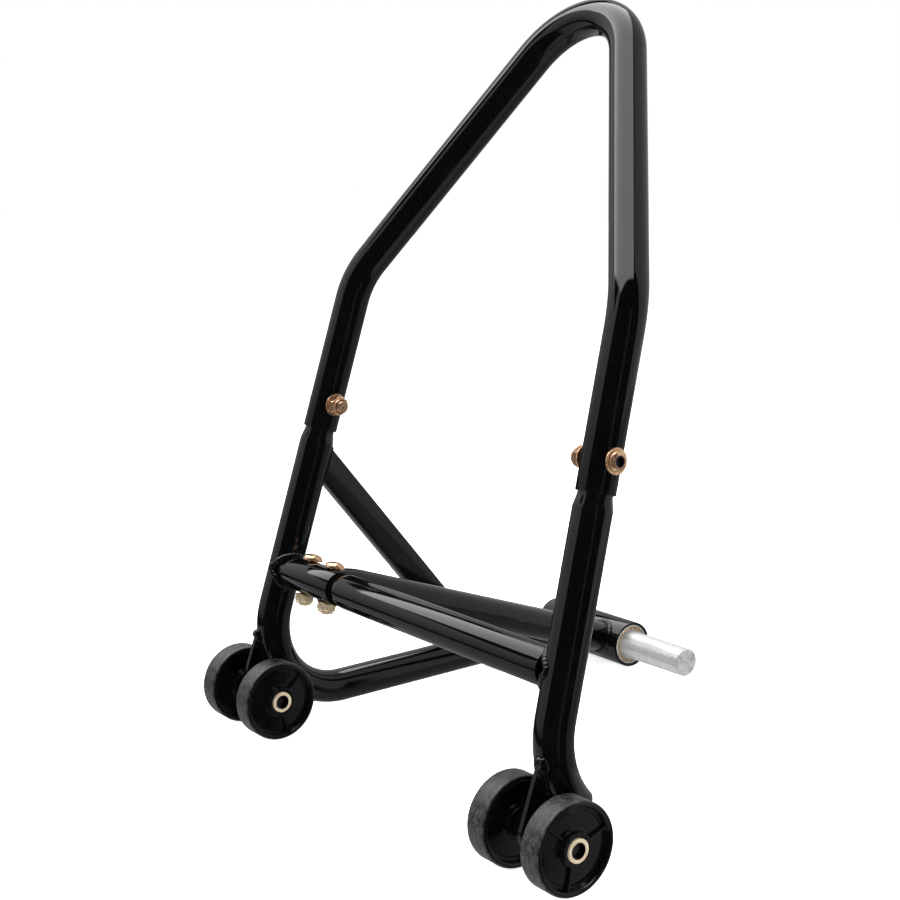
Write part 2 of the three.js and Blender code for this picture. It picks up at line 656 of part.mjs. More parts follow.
// ---- wheels and axles
const WHEEL_BORE_R = AXLE_R + GAP + 0.1;
const TREAD_R = flatR(WHEEL_R);

// A wheel about its own axle. Both faces are recessed and counterbored.
function wheelShape(ribAngle) {
  const half = WHEEL_WIDTH / 2;
  const hubHalf = half + WHEEL_HUB_PROUD;
  const webHalf = half - WHEEL_RECESS;
  const rimR = TREAD_R - WHEEL_RIM;
  const side = (s) => [
    [s * (half - COUNTERBORE_DEPTH), WHEEL_BORE_R], [s * (half - COUNTERBORE_DEPTH), COUNTERBORE_R],
    [s * hubHalf, COUNTERBORE_R], [s * hubHalf, WHEEL_HUB_R], [s * webHalf, WHEEL_HUB_R + 0.6],
    [s * webHalf, rimR - 1], [s * half, rimR], [s * half, TREAD_R - 1.2], [s * (half - 1.2), TREAD_R],
  ];
  const body = turned([...side(-1).reverse(), ...side(1)], ROUND_SEGMENTS);
  const ribs = [];
  for (let i = 0; i < RIB_COUNT; i += 1) {
    const length = rimR - WHEEL_HUB_R + 2.5;
    const rib = new THREE.BoxGeometry(WHEEL_WIDTH - 2.4, RIB_WIDTH, length);
    rib.translate(0, 0, (rimR + WHEEL_HUB_R) / 2 - 0.2);
    rib.rotateX((i / RIB_COUNT) * Math.PI * 2 + (ribAngle - 90) * DEG);
    ribs.push(rib);
  }
  return shaped(body, ribs, []);
}
function bracketShape() {
  const outline = new THREE.Shape();
  const eye = (angle) => [BRACKET_EYE_R * Math.cos(angle), WHEEL_R + BRACKET_EYE_R * Math.sin(angle)];
  outline.moveTo(24, BRACKET_TOP_Z - 6);
  outline.lineTo(1, BRACKET_TOP_Z);
  outline.lineTo(...eye(160 * DEG));
  outline.absarc(0, WHEEL_R, BRACKET_EYE_R, 160 * DEG, 300 * DEG);
  outline.lineTo(26, 30);
  outline.closePath();
  const hole = new THREE.Path();
  hole.absarc(0, WHEEL_R, WHEEL_BORE_R, 0, Math.PI * 2);
  outline.holes.push(hole);
  const plate = new THREE.ExtrudeGeometry(outline, {
    depth: BRACKET_THICKNESS,
    bevelEnabled: false,
    curveSegments: 8,
  });
  plate.translate(0, 0, -BRACKET_THICKNESS / 2);
  // Shape x runs along Y and shape y along Z.
  plate.applyMatrix4(new THREE.Matrix4().makeBasis(Y_AXIS, new THREE.Vector3(0, 0, 1), X_AXIS));
  return plate;
}

const AXLE_SOCKET_R = 5.8;
const AXLE_SOCKET_DEPTH = 3.4;
const AXLE_THREAD_LENGTH = 30;

// The round head with its hexagon socket that closes either end of an axle.
function axleHead(seat, face, shank) {
  const head = turned([
    [seat, 0], [face, 0], [face, AXLE_HEAD_R - 0.5], [face - 0.5, AXLE_HEAD_R], [seat, AXLE_HEAD_R],
  ], SMALL_SEGMENTS);
  const socketFlats = AXLE_SOCKET_R * 2 * Math.cos(Math.PI / 6);
  const socket = new THREE.ExtrudeGeometry(hexagon(socketFlats), {
    depth: AXLE_SOCKET_DEPTH + 1,
    bevelEnabled: false,
  });
  socket.rotateY(Math.PI / 2).translate(face - AXLE_SOCKET_DEPTH, 0, 0);
  return shaped(head, [shank], [socket]);
}

for (const [side, name] of [[LEFT, 'left'], [RIGHT, 'right']]) {
  const middle = side * TRACK_HALF;
  const plate = bracketShape().translate(middle, 0, 0);
  add(`${name}_wheel_bracket`, shaped(plate, [], [legCutter(side)]), powderCoat());

  const axle = axisGroup(new THREE.Vector3(middle, 0, WHEEL_R), X_AXIS);
  const innerFace = WHEEL_SPACING / 2;
  const wheelCentre = innerFace + WHEEL_WIDTH / 2;
  const outerFace = innerFace + WHEEL_WIDTH;
  for (const [x, place] of [[-1, 'a'], [1, 'b']]) {
    const wheelName = `${name}_wheel_${place}`;
    const wheel = add(wheelName, wheelShape(RIB_ANGLES[wheelName]), wheelPlastic(), axle);
    wheel.position.x = x * wheelCentre;
    const spacer = ring(
      BRACKET_THICKNESS / 2 + GAP,
      innerFace + COUNTERBORE_DEPTH - GAP,
      WHEEL_BORE_R,
      SPACER_R,
      SMALL_SEGMENTS,
    );
    if (x < 0) spacer.rotateY(Math.PI);
    add(`${name}_axle_spacer_${place}`, spacer, powderCoat(), axle);
  }
  // The bolt's head is on the +X side, and the sleeve it screws into on the -X side.
  const face = outerFace + AXLE_HEAD_PROUD;
  const seat = outerFace - COUNTERBORE_DEPTH + GAP;
  const sleeve = rod(-(seat - GAP), seat + 1, AXLE_R, SMALL_SEGMENTS);
  const sleeveNut = axleHead(seat, face, sleeve).rotateY(Math.PI);
  const threadHole = rod(seat - AXLE_THREAD_LENGTH - 4, seat + 1, AXLE_BOLT_R + 0.4, SMALL_SEGMENTS);
  add(`${name}_axle_sleeve`, shaped(sleeveNut, [], [threadHole]), paleZinc(), axle);
  const shank = rod(seat - AXLE_THREAD_LENGTH, seat + 1, AXLE_BOLT_R, SMALL_SEGMENTS);
  add(`${name}_axle_bolt`, axleHead(seat, face, shank), yellowZinc(), axle);
}

// ---------------------------------------------------------------- place the origin
const rearY = -WHEEL_R;
const frontY = HOUSING_Y + HOUSING_R;
stand.position.y = -(rearY + frontY) / 2;

const model = new THREE.Group();
model.add(stand);
export default model;
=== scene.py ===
import json
import math

import bmesh
import bpy
from mathutils import Matrix, Vector, noise

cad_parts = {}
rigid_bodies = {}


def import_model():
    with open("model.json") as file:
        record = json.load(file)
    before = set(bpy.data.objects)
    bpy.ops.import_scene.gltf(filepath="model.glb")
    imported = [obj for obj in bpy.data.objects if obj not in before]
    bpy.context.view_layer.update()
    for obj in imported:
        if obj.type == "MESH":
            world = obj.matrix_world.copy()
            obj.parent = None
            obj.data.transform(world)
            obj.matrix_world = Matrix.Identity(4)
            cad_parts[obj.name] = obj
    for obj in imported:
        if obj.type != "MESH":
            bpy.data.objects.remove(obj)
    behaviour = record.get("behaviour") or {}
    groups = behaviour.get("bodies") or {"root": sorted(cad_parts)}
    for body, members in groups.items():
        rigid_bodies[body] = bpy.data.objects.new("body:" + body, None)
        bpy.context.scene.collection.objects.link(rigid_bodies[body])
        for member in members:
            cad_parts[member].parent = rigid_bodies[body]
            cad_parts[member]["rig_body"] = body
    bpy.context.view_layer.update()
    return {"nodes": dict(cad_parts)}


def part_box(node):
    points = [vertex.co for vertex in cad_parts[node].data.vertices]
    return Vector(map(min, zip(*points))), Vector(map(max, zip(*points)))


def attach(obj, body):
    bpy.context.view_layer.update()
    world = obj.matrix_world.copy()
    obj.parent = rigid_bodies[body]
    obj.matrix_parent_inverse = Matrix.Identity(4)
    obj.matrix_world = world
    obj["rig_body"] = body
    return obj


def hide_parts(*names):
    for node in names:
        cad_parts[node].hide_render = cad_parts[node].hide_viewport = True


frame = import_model()

# ---- layout
# The layout is in millimetres about the floor point below the middle of the wheel
# axles. point() moves it into the row frame, in metres.
MM = 0.001
DEG = math.pi / 180
LEFT, RIGHT = -1, 1
SIDES = {LEFT: "left", RIGHT: "right"}
X, Y, Z = Vector((1, 0, 0)), Vector((0, 1, 0)), Vector((0, 0, 1))


def middle(node):
    low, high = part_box(node)
    return (low + high) / 2


AXLE_Y = middle("left_wheel_a").y
PIN_AXIS = middle("lift_pin")


def point(x, y, z):
    return Vector((x * MM, y * MM + AXLE_Y, z * MM))


def from_row(p):
    """A point of the row frame, back in the layout."""
    return Vector((p.x, p.y - AXLE_Y, p.z)) / MM


WELD_GAP = 0.3  # between neighbouring solids
TUBE_R = 14.3
WALL = 1.6
NECK_R = 12.4  # the swaged ends of the legs and of the cross tube
SHOULDER = 12.0  # length over which a neck widens to the full tube
LEAN = 17.2 * DEG
SPLAY = 3.4 * DEG
FOOT_X, FOOT_Y = 195.9, -14.2
CORNER_Z = 19.4
FOOT_BEND = 68.0
RIGHT_TURN = 56 * DEG
SLEEVE_Z = 256.4
SLEEVE_OVERLAP = 44.0
HANDLE_BOLT_Z = 278.6
KNEE_Z = 382.5
HANDLE_LEAN = 30.6 * DEG
HANDLE_TAPER = 29.4 * DEG
KNEE_BEND, TOP_BEND = 74.0, 65.71
CROSS_Z = 137.9
SOCKET_END = -98.0
SOCKET_OVERLAP = 72.0
SHOULDER_STANDOFF = 2.2
CROSS_BOLTS = (-147.6, -112.6)
HOUSING_R = 21.2
HOUSING_Y = 355.2
UPPER_REAR_X, UPPER_REAR_Z = -124.0, 133.5
UPPER_STANDOFF = 6.0
UPPER_FRONT_X, UPPER_FRONT_Z = -135.0, 28.6
UPPER_SLOPE = 20.2 * DEG
UPPER_BEND = 70.0
BRACE_DEPTH, BRACE_WIDTH = 25.4, 12.7
BRACE_TOP_Z, BRACE_FRONT_Y = 237.0, 237.0
TRACK = 193.4  # from the middle to either bracket
WHEEL_R = 33.3
WHEEL_WIDTH = 19.7
INNER_FACE = 19.7  # from a bracket's middle to the inner face of its wheels
BRACKET_T = 4.0
BRACKET_EYE = 17.5
BRACKET_TOP = 86.5

SLOPE_X = math.tan(SPLAY) / math.cos(LEAN)


def leg(side, z):
    return Vector((side * (FOOT_X - z * SLOPE_X), FOOT_Y + z * math.tan(LEAN), z))


def leg_up(side):
    return (leg(side, 1) - leg(side, 0)).normalized()


def cross_axis(x):
    return Vector((x, leg(LEFT, CROSS_Z).y, CROSS_Z))


ARM_END = Vector((-FOOT_X, HOUSING_Y, HOUSING_R))
CORNER = {s: leg(s, CORNER_Z) for s in SIDES}
ARM_DIR = (ARM_END - CORNER[LEFT]).normalized()

# ---- materials


def put(v, socket):
    """Links an output to a node's input, or sets the input to a value."""
    if isinstance(v, bpy.types.NodeSocket):
        socket.id_data.links.new(v, socket)
    else:
        socket.default_value = v


def fill(node, **values):
    """Puts a node's inputs by name; an underscore stands for the space in a name."""
    for key, v in values.items():
        put(v, node.inputs[key.replace("_", " ")])
    return node


def math_node(tree, operation, a, b):
    n = tree.nodes.new("ShaderNodeMath")
    n.operation = operation
    put(a, n.inputs[0])
    put(b, n.inputs[1])
    return n.outputs["Value"]


def material(name):
    m = bpy.data.materials.new(name)
    m.use_nodes = True
    return m, m.node_tree.nodes["Principled BSDF"]


class Graph:
    """Short names for the node kinds the materials share."""

    def __init__(self, name):
        self.material, self.shader = material(name)
        self.nodes = self.material.node_tree.nodes
        self.coords = self.nodes.new("ShaderNodeTexCoord").outputs["Object"]

    def node(self, kind, **values):
        return fill(self.nodes.new("ShaderNode" + kind), **values)

    def noise(self, scale, detail=3.0, roughness=0.5, vector=None, distortion=0.0):
        n = self.node("TexNoise", Scale=scale, Detail=detail, Roughness=roughness, Distortion=distortion)
        return fill(n, Vector=vector or self.coords).outputs["Fac"]

    def stretched(self, sx, sy, sz):
        return self.node("Mapping", Scale=(sx, sy, sz), Vector=self.coords).outputs["Vector"]

    def wave(self, kind, scale, distortion):
        """Bands along X, or rings round it."""
        n = self.node("TexWave", Scale=scale, Distortion=distortion, Detail=1.0, Vector=self.coords)
        n.wave_type = kind
        n.bands_direction = n.rings_direction = "X"
        return n.outputs["Fac"]

    def ramp(self, value, *stops):
        n = self.node("ValToRGB", Fac=value)
        while len(n.color_ramp.elements) < len(stops):
            n.color_ramp.elements.new(0.5)
        for element, (place, color) in zip(n.color_ramp.elements, stops):
            element.position = place
            element.color = (*color, 1)
        return n.outputs["Color"]

    def span(self, value, from_low, from_high, low, high):
        n = self.node("MapRange", Value=value, From_Min=from_low, From_Max=from_high)
        return fill(n, To_Min=low, To_Max=high).outputs["Result"]

    def math(self, operation, a, b):
        return math_node(self.material.node_tree, operation, a, b)

    def mix(self, factor, a, b):
        n = self.node("Mix", Factor=factor)
        n.data_type = "RGBA"
        for key, v in (("A", a), ("B", b)):
            socket = next(s for s in n.inputs if s.name == key and s.type == "RGBA")
            put((*v, 1) if isinstance(v, tuple) else v, socket)
        return next(s for s in n.outputs if s.type == "RGBA")

    def bump(self, height, strength, distance, under=None):
        n = self.node("Bump", Height=height, Strength=strength, Distance=distance)
        if under is not None:
            fill(n, Normal=under)
        return n.outputs["Normal"]

    def radius(self):
        """Distance from the object's own X axis."""
        split = self.node("SeparateXYZ", Vector=self.coords)
        squares = [self.math("MULTIPLY", split.outputs[i], split.outputs[i]) for i in (1, 2)]
        return self.math("SQRT", self.math("ADD", *squares), 0.0)

    def up(self):
        """How far the surface faces up, from -1 to 1."""
        normal = self.node("NewGeometry").outputs["Normal"]
        return self.node("SeparateXYZ", Vector=normal).outputs["Z"]

    def done(self, color, roughness, normal, metallic=0.0):
        fill(self.shader, Base_Color=color, Roughness=roughness, Normal=normal, Metallic=metallic)
        return self.material


def powder_coat(name, rough_low=0.035, rough_high=0.075, peel=0.02):
    """Gloss black powder coat: slight orange peel, faint haze and a few dull rubs."""
    g = Graph(name)
    haze = g.noise(22, 5, 0.6)
    rubs = g.noise(140, 4, 0.62, g.stretched(1, 1, 0.25), 0.6)
    dust = g.span(g.math("MULTIPLY", g.up(), g.noise(2600, 2)), 0.35, 0.7, 0.0, 0.5)
    base = g.ramp(haze, (0.3, (0.0008, 0.0008, 0.0009)), (0.75, (0.0018, 0.0018, 0.0019)))
    color = g.mix(dust, base, (0.0045, 0.0045, 0.0045))
    gloss = g.span(haze, 0.3, 0.7, rough_low, rough_high)
    rough = g.math("ADD", gloss, g.span(rubs, 0.62, 0.8, 0.0, 0.07))
    peel_bump = g.bump(g.noise(330, 2, 0.45), peel, 0.0004)
    fine = g.bump(g.noise(2400, 2, 0.5), 0.008, 0.0001, peel_bump)
    return g.done(color, rough, fine)


def wheel_material():
    """Moulded wheel: satin black faces, and a tread scuffed grey by rolling."""
    g = Graph("wheel_plastic")
    tread = g.span(g.radius(), (WHEEL_R - 1.5) * MM, (WHEEL_R - 0.4) * MM, 0.0, 1.0)
    streaks = g.noise(150, 7, 0.75, g.stretched(2.0, 1, 1), 0.5)
    speckle = g.noise(700, 3, 0.6)
    dark, middling, pale = (0.003, 0.003, 0.0032), (0.012, 0.012, 0.0118), (0.044, 0.043, 0.041)
    scuffed = g.ramp(streaks, (0.40, dark), (0.5, middling), (0.62, pale))
    scuffed = g.mix(g.span(speckle, 0.53, 0.68, 0.0, 0.6), scuffed, (0.070, 0.069, 0.065))
    face = g.ramp(g.noise(60, 4), (0.3, (0.0012, 0.0012, 0.0013)), (0.8, (0.0030, 0.0030, 0.0031)))
    color = g.mix(tread, face, scuffed)
    rough_face = g.span(g.noise(120, 4), 0.3, 0.7, 0.08, 0.15)
    rough_tread = g.math("MULTIPLY", tread, g.span(streaks, 0.35, 0.65, 0.12, 0.34))
    rough = g.math("ADD", rough_face, rough_tread)
    grain = g.bump(g.noise(1500, 3, 0.6), 0.05, 0.0002)
    scratches = g.bump(g.noise(260, 5, 0.7, g.stretched(6, 1, 1)), 0.08, 0.0003, grain)
    pits = g.bump(g.math("MULTIPLY", g.noise(520, 5, 0.75), tread), 0.8, 0.0005, scratches)
    return g.done(color, rough, pits)


def cap_material():
    """Dull moulded plastic."""
    g = Graph("cap_plastic")
    color = g.ramp(g.noise(300, 3), (0.3, (0.010, 0.010, 0.010)), (0.8, (0.022, 0.022, 0.021)))
    rough = g.span(g.noise(800, 2), 0.3, 0.7, 0.4, 0.55)
    return g.done(color, rough, g.bump(g.noise(3000, 2), 0.15, 0.0001))


def zinc(name, low, mid, high, rough_low, rough_high, metallic):
    """Zinc plate: the passivation varies in colour over a few millimetres."""
    g = Graph(name)
    patches = g.noise(210, 4, 0.62, None, 1.2)
    fine = g.noise(2600, 3, 0.6)
    color = g.ramp(patches, (0.3, low), (0.5, mid), (0.72, high))
    color = g.mix(g.span(fine, 0.6, 0.8, 0.0, 0.35), color, tuple(v * 0.45 for v in mid))
    rough = g.span(g.noise(700, 3), 0.3, 0.7, rough_low, rough_high)
    return g.done(color, rough, g.bump(fine, 0.03, 0.00012), metallic)


def turned_steel(name, low, high, rough_low, rough_high, pitch, strength):
    """Turned steel: tool marks round the X axis, rings on the ends, and scores along X."""
    g = Graph(name)
    marks = g.wave("BANDS", pitch, 1.5)
    smears = g.noise(60, 4, 0.6, g.stretched(9, 1, 1))
    rings = g.wave("RINGS", pitch * 0.55, 0.6)
    scores = g.noise(170, 4, 0.6, g.stretched(0.03, 1, 1))
    scuffs = g.noise(420, 4, 0.7, g.stretched(0.5, 1, 1))
    color = g.ramp(smears, (0.25, low), (0.75, high))
    color = g.mix(g.span(scores, 0.52, 0.66, 0.0, 0.55), color, tuple(v * 0.3 for v in low))
    color = g.mix(g.span(scuffs, 0.5, 0.7, 0.0, 0.35), color, tuple(v * 0.5 for v in low))
    polish = g.span(smears, 0.3, 0.7, rough_low, rough_high)
    rough = g.math("ADD", polish, g.span(g.noise(500, 3), 0.5, 0.8, 0.0, 0.08))
    normal = g.bump(marks, strength, 0.00005)
    return g.done(color, rough, g.bump(rings, strength, 0.00005, normal), 0.66)


MATERIALS = {
    "powder_coat": powder_coat("powder_coat"),
    "weld": powder_coat("powder_coat_weld", 0.06, 0.12, 0.12),
    "spacer_black": powder_coat("spacer_black", 0.2, 0.32, 0.1),
    "wheel_plastic": wheel_material(),
    "cap_plastic": cap_material(),
}
# Each zinc has its low, middle and high colours, then its roughness limits and its metal share.
ZINCS = {
    "yellow_zinc": ((0.70, 0.32, 0.18), (0.86, 0.53, 0.32), (0.96, 0.82, 0.54), 0.10, 0.20, 0.94),
    "pale_zinc": ((0.76, 0.55, 0.34), (0.90, 0.75, 0.50), (0.97, 0.90, 0.66), 0.12, 0.22, 0.82),
    "axle_zinc": ((0.74, 0.50, 0.36), (0.80, 0.67, 0.46), (0.84, 0.80, 0.58), 0.26, 0.38, 0.65),
    "socket_shadow": ((0.045, 0.035, 0.035), (0.07, 0.06, 0.08), (0.15, 0.11, 0.10), 0.2, 0.3, 1.0),
    "bearing_shield_gold": ((0.62, 0.46, 0.28), (0.68, 0.52, 0.34), (0.72, 0.58, 0.40), 0.2, 0.3, 0.85),
}
# Each steel has its low and high colours, roughness limits, and the tool marks' pitch and depth.
STEELS = {
    "machined_steel": ((0.50, 0.50, 0.50), (0.68, 0.68, 0.675), 0.38, 0.48, 2200.0, 0.03),
    "bearing_steel": ((0.58, 0.57, 0.54), (0.74, 0.73, 0.70), 0.16, 0.26, 3000.0, 0.012),
}
for look, values in ZINCS.items():
    MATERIALS[look] = zinc(look, *values)
for look, values in STEELS.items():
    MATERIALS[look] = turned_steel(look, *values)

# ---- mesh helpers


def link(thing):
    bpy.context.scene.collection.objects.link(thing)


def new_piece(name, verts, faces, look, origin, sharp=32):
    """A mesh object. verts and origin are in the layout; origin is the object's own zero."""
    mesh = bpy.data.meshes.new(name)
    mesh.from_pydata([(v - origin) * MM for v in verts], [], faces)
    mesh.validate()
    mesh.update()
    mesh.shade_smooth()
    mesh.set_sharp_from_angle(angle=sharp * DEG)
    mesh.materials.append(MATERIALS[look])
    piece = bpy.data.objects.new(name, mesh)
    piece.location = point(*origin)
    link(piece)
    return piece


def stand_for(piece, node):
    """The piece rides on the node's body and replaces it."""
    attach(piece, frame["nodes"][node]["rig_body"])
    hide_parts(node)


def trim(piece):
    """A piece of the frame that stands for no node."""
    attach(piece, "frame")


def bevelled(piece, width, segments):
    bevel = piece.modifiers.new("edges", "BEVEL")
    bevel.width = width * MM
    bevel.segments = segments
    bevel.limit_method = "ANGLE"
    bevel.angle_limit = 30 * DEG
    bevel.harden_normals = True
    return piece


def axes_along(direction):
    """Three axes whose first is the direction."""
    a = direction.normalized()
    b = (Z - a * a.dot(Z)) if abs(a.z) < 0.9 else (Y - a * a.dot(Y))
    b.normalize()
    return a, b, a.cross(b)


def rounded(profile, radius, steps=4):
    """Rounds the corners of an open [along, radius] profile. Corners on the axis stay."""
    out = [profile[0]]
    for before, corner, after in zip(profile, profile[1:], profile[2:]):
        c = Vector(corner)
        into, away = c - Vector(before), Vector(after) - c
        cut = min(radius, into.length * 0.45, away.length * 0.45)
        if cut < 0.02 or into.angle(away) < 12 * DEG:
            out.append(corner)
            continue
        start, end = c - into.normalized() * cut, c + away.normalized() * cut
        for i in range(steps + 1):
            t = i / steps
            out.append(tuple(start * (1 - t) ** 2 + c * 2 * t * (1 - t) + end * t * t))
    out.append(profile[-1])
    return out


def lathe(levels, origin, direction, sides=64, closed=False, phase=0.0):
    """verts and faces of a turned shape. A level is (along, radius), and a radius may be a
    function of the angle. An open profile starts and ends on the axis."""
    a, b, c = axes_along(direction)
    verts, faces, rows = [], [], []
    for along, radius in levels:
        base = origin + a * along
        if not callable(radius) and radius < 1e-6:
            verts.append(base)
            rows.append([len(verts) - 1] * sides)
            continue
        row = []
        for i in range(sides):
            angle = phase + i / sides * math.tau
            r = radius(angle) if callable(radius) else radius
            verts.append(base + (b * math.cos(angle) + c * math.sin(angle)) * r)
            row.append(len(verts) - 1)
        rows.append(row)
    pairs = list(zip(rows, rows[1:]))
    if closed:
        pairs.append((rows[-1], rows[0]))
    for low, high in pairs:
        for i in range(sides):
            j = (i + 1) % sides
            quad = [low[i], low[j], high[j], high[i]]
            face = [v for k, v in enumerate(quad) if v != quad[k - 1]]
            if len(face) > 2:
                faces.append(face[::-1])
    return verts, faces


def fix_facing(piece):
    """Turns every closed shell of the piece to face out."""
    bm = bmesh.new()
    bm.from_mesh(piece.data)
    bmesh.ops.recalc_face_normals(bm, faces=bm.faces)
    bm.to_mesh(piece.data)
    bm.free()
    return piece


def turned(name, levels, origin, direction, look, sides=72, closed=False, sharp=32, phase=0.0):
    verts, faces = lathe(levels, origin, direction, sides, closed, phase)
    piece = fix_facing(new_piece(name, verts, faces, look, origin, sharp))
    piece["axis"] = direction.normalized()
    return piece


def turned_for(node, made, *shape, **kind):
    """A turned piece that replaces the node and is named after it."""
    stand_for(turned(f"{node}_{made}", *shape, **kind), node)


def ring_profile(x0, x1, inner, outer, edge=0.4):
    """A closed ring section with rounded corners."""
    corners = [(x0, inner), (x1, inner), (x1, outer), (x0, outer)]
    return rounded([corners[-1], *corners, corners[0]], edge, 3)[1:-1]


def wrap_rows(rows, sides, closed):
    """Faces round and along rows of the same number of verts."""
    faces = []
    for k in range(rows if closed else rows - 1):
        n = (k + 1) % rows
        for i in range(sides):
            j = (i + 1) % sides
            faces.append([k * sides + i, k * sides + j, n * sides + j, n * sides + i])
    return faces


class Route:
    """Straight runs joined by arcs, as a list of points with directions and lengths."""

    def __init__(self, start, corners, end, step=2.5 * DEG):
        self.points, self.directions = [], []
        previous = start
        first = corners[0]["at"] if corners else end
        self.add(start, (first - start).normalized())
        for i, corner in enumerate(corners):
            after = corners[i + 1]["at"] if i + 1 < len(corners) else end
            self.arc(previous, corner, after, step)
            previous = corner["at"]
        if not corners or not corners[-1].get("last"):
            self.add(end, (end - previous).normalized())
        self.lengths = [0.0]
        for a, b in zip(self.points, self.points[1:]):
            self.lengths.append(self.lengths[-1] + (b - a).length)
        self.total = self.lengths[-1]

    def add(self, p, direction):
        self.points.append(p.copy())
        self.directions.append(direction.copy())

    def arc(self, previous, corner, after, step):
        into = (corner["at"] - previous).normalized()
        away = (after - corner["at"]).normalized()
        turn, radius = into.angle(away), corner["radius"]
        inward = (away - into * away.dot(into)).normalized()
        begin = corner["at"] - into * radius * math.tan(turn / 2)
        centre = begin + inward * radius
        sweep = corner.get("sweep", turn)
        steps = max(3, round(sweep / step))
        for i in range(steps + 1):
            t = sweep * i / steps
            p = centre - inward * radius * math.cos(t) + into * radius * math.sin(t)
            self.add(p, into * math.cos(t) + inward * math.sin(t))

    def at(self, s):
        s = min(max(s, 0.0), self.total)
        for i in range(len(self.lengths) - 1):
            if s <= self.lengths[i + 1] + 1e-9:
                t = (s - self.lengths[i]) / max(self.lengths[i + 1] - self.lengths[i], 1e-9)
                p = self.points[i].lerp(self.points[i + 1], t)
                return p, self.directions[i].lerp(self.directions[i + 1], t).normalized()
        return self.points[-1], self.directions[-1]


def full_radius(s):
    return TUBE_R


def swept_tube(node, route, outer, origin, extra=(), lip=0.45, sides=72):
    """Replaces the node by a hollow tube along a route, with rounded lips. outer(s) is its
    radius at length s, and extra holds the lengths where that radius changes."""
    near = [0, lip * 0.3, lip]
    far = [route.total - s for s in reversed(near)]
    marks = sorted({round(s, 4) for s in [*route.lengths, *extra, *near, *far]})
    frames, b = [], None
    for s in marks:
        p, a = route.at(s)
        b = axes_along(a)[1] if b is None else (b - a * b.dot(a)).normalized()
        frames.append((p, b.copy(), a.cross(b)))
    rows = []
    for s, f in zip(marks, frames):
        edge = min(s, route.total - s)
        drop = 0.0 if edge >= lip else lip - math.sqrt(max(0.0, lip * lip - (lip - edge) ** 2))
        rows.append((f, outer(s) - drop))
    for s, f in reversed(list(zip(marks, frames))):
        rows.append((f, outer(s) - WALL))
    verts = []
    for (p, b, c), r in rows:
        for i in range(sides):
            t = i / sides * math.tau
            verts.append(p + (b * math.cos(t) + c * math.sin(t)) * r)
    faces = wrap_rows(len(rows), sides, True)
    stand_for(fix_facing(new_piece(f"{node}_formed", verts, faces, "powder_coat", origin, 50)), node)


def smoothstep(t):
    t = min(1.0, max(0.0, t))
    return t * t * (3 - 2 * t)


# ---- weld beads


def cope(a, outline, q0, b, rb):
    """Where lines along a, started round an outline, meet a cylinder's near side."""
    a, b = a.normalized(), b.normalized()
    found = []
    for p in outline:
        w = p - q0
        w -= b * w.dot(b)
        d = a - b * a.dot(b)
        qa, qb, qc = d.dot(d), 2 * w.dot(d), w.dot(w) - rb * rb
        root = math.sqrt(max(qb * qb - 4 * qa * qc, 0.0))
        found.append(p + a * ((-qb - root) / (2 * qa)))
    return found


def circle(p0, a, r, count=220):
    _, b, c = axes_along(a)
    angles = [i / count * math.tau for i in range(count)]
    return [p0 + (b * math.cos(t) + c * math.sin(t)) * r for t in angles]


def bead(name, path, width, seed, lumps=0.4, closed=True):
    """A weld bead along a path: overlapping ripples of uneven width."""
    lengths = [0.0]
    count = len(path)
    for i in range(count - (0 if closed else 1)):
        lengths.append(lengths[-1] + (path[(i + 1) % count] - path[i]).length)
    total = lengths[-1]
    pitch = total / max(3, round(total / (width * 0.75)))
    rings = max(24, int(total / 0.55))
    sides = 14
    verts = []

    def spot(s):
        s = s % total if closed else min(max(s, 0.0), total)
        for i in range(len(lengths) - 1):
            if s <= lengths[i + 1]:
                t = (s - lengths[i]) / max(lengths[i + 1] - lengths[i], 1e-9)
                return path[i].lerp(path[(i + 1) % count], t)
        return path[0 if closed else -1]

    steps = rings if closed else rings + 1
    b = None
    for k in range(steps):
        s = total * k / rings
        p = spot(s)
        a = (spot(s + 0.6) - spot(s - 0.6)).normalized()
        b = axes_along(a)[1] if b is None else (b - a * b.dot(a)).normalized()
        c = a.cross(b)
        phase = (s / pitch) % 1.0
        wobble = noise.noise(Vector((s * 0.11, seed * 7.3, 0.0)))
        ripple = 1.0 + lumps * (0.30 * math.sin(phase * math.pi) ** 0.5 - 0.22 + 0.5 * wobble)
        end = 1.0 if closed else max(0.05, math.sqrt(min(1.0, 4.0 * min(k, rings - k) / rings + 0.002)))
        wander = b * noise.noise(Vector((s * 0.2, seed, 3.0))) + c * noise.noise(Vector((s * 0.2, seed, 9.0)))
        shift = wander * 0.8 * lumps
        lean = a * (0.2 * lumps * width * math.sin(phase * math.pi))
        for i in range(sides):
            t = i / sides * math.tau
            lump = 1 + 0.12 * lumps * noise.noise(Vector((s * 0.7, t * 1.3, seed)))
            r = width * 0.5 * ripple * end * lump
            verts.append(p + shift + (b * math.cos(t) + c * math.sin(t)) * r + lean)
    faces = wrap_rows(steps, sides, closed)
    if not closed:
        faces.append(list(range(sides)))
        faces.append(list(range((steps - 1) * sides, steps * sides)))
    trim(fix_facing(new_piece(name, verts, faces, "weld", path[0], 80)))


# ---- frame tubes


def foot_route(side):
    top = leg(side, SLEEVE_Z) + leg_up(side) * SLEEVE_OVERLAP
    corner = {"at": CORNER[side], "radius": FOOT_BEND}
    if side == LEFT:
        return Route(top, [corner], ARM_END - ARM_DIR * 17.2)
    return Route(top, [{**corner, "sweep": RIGHT_TURN, "last": True}], CORNER[side] + Y * 200)


def swaged(start):
    """The radius along a tube whose neck ends at start, and the lengths that shape its shoulder."""
    def radius(s):
        return NECK_R + (TUBE_R - NECK_R) * smoothstep((s - start) / SHOULDER)
    return radius, [start + SHOULDER * i / 14 for i in range(15)]


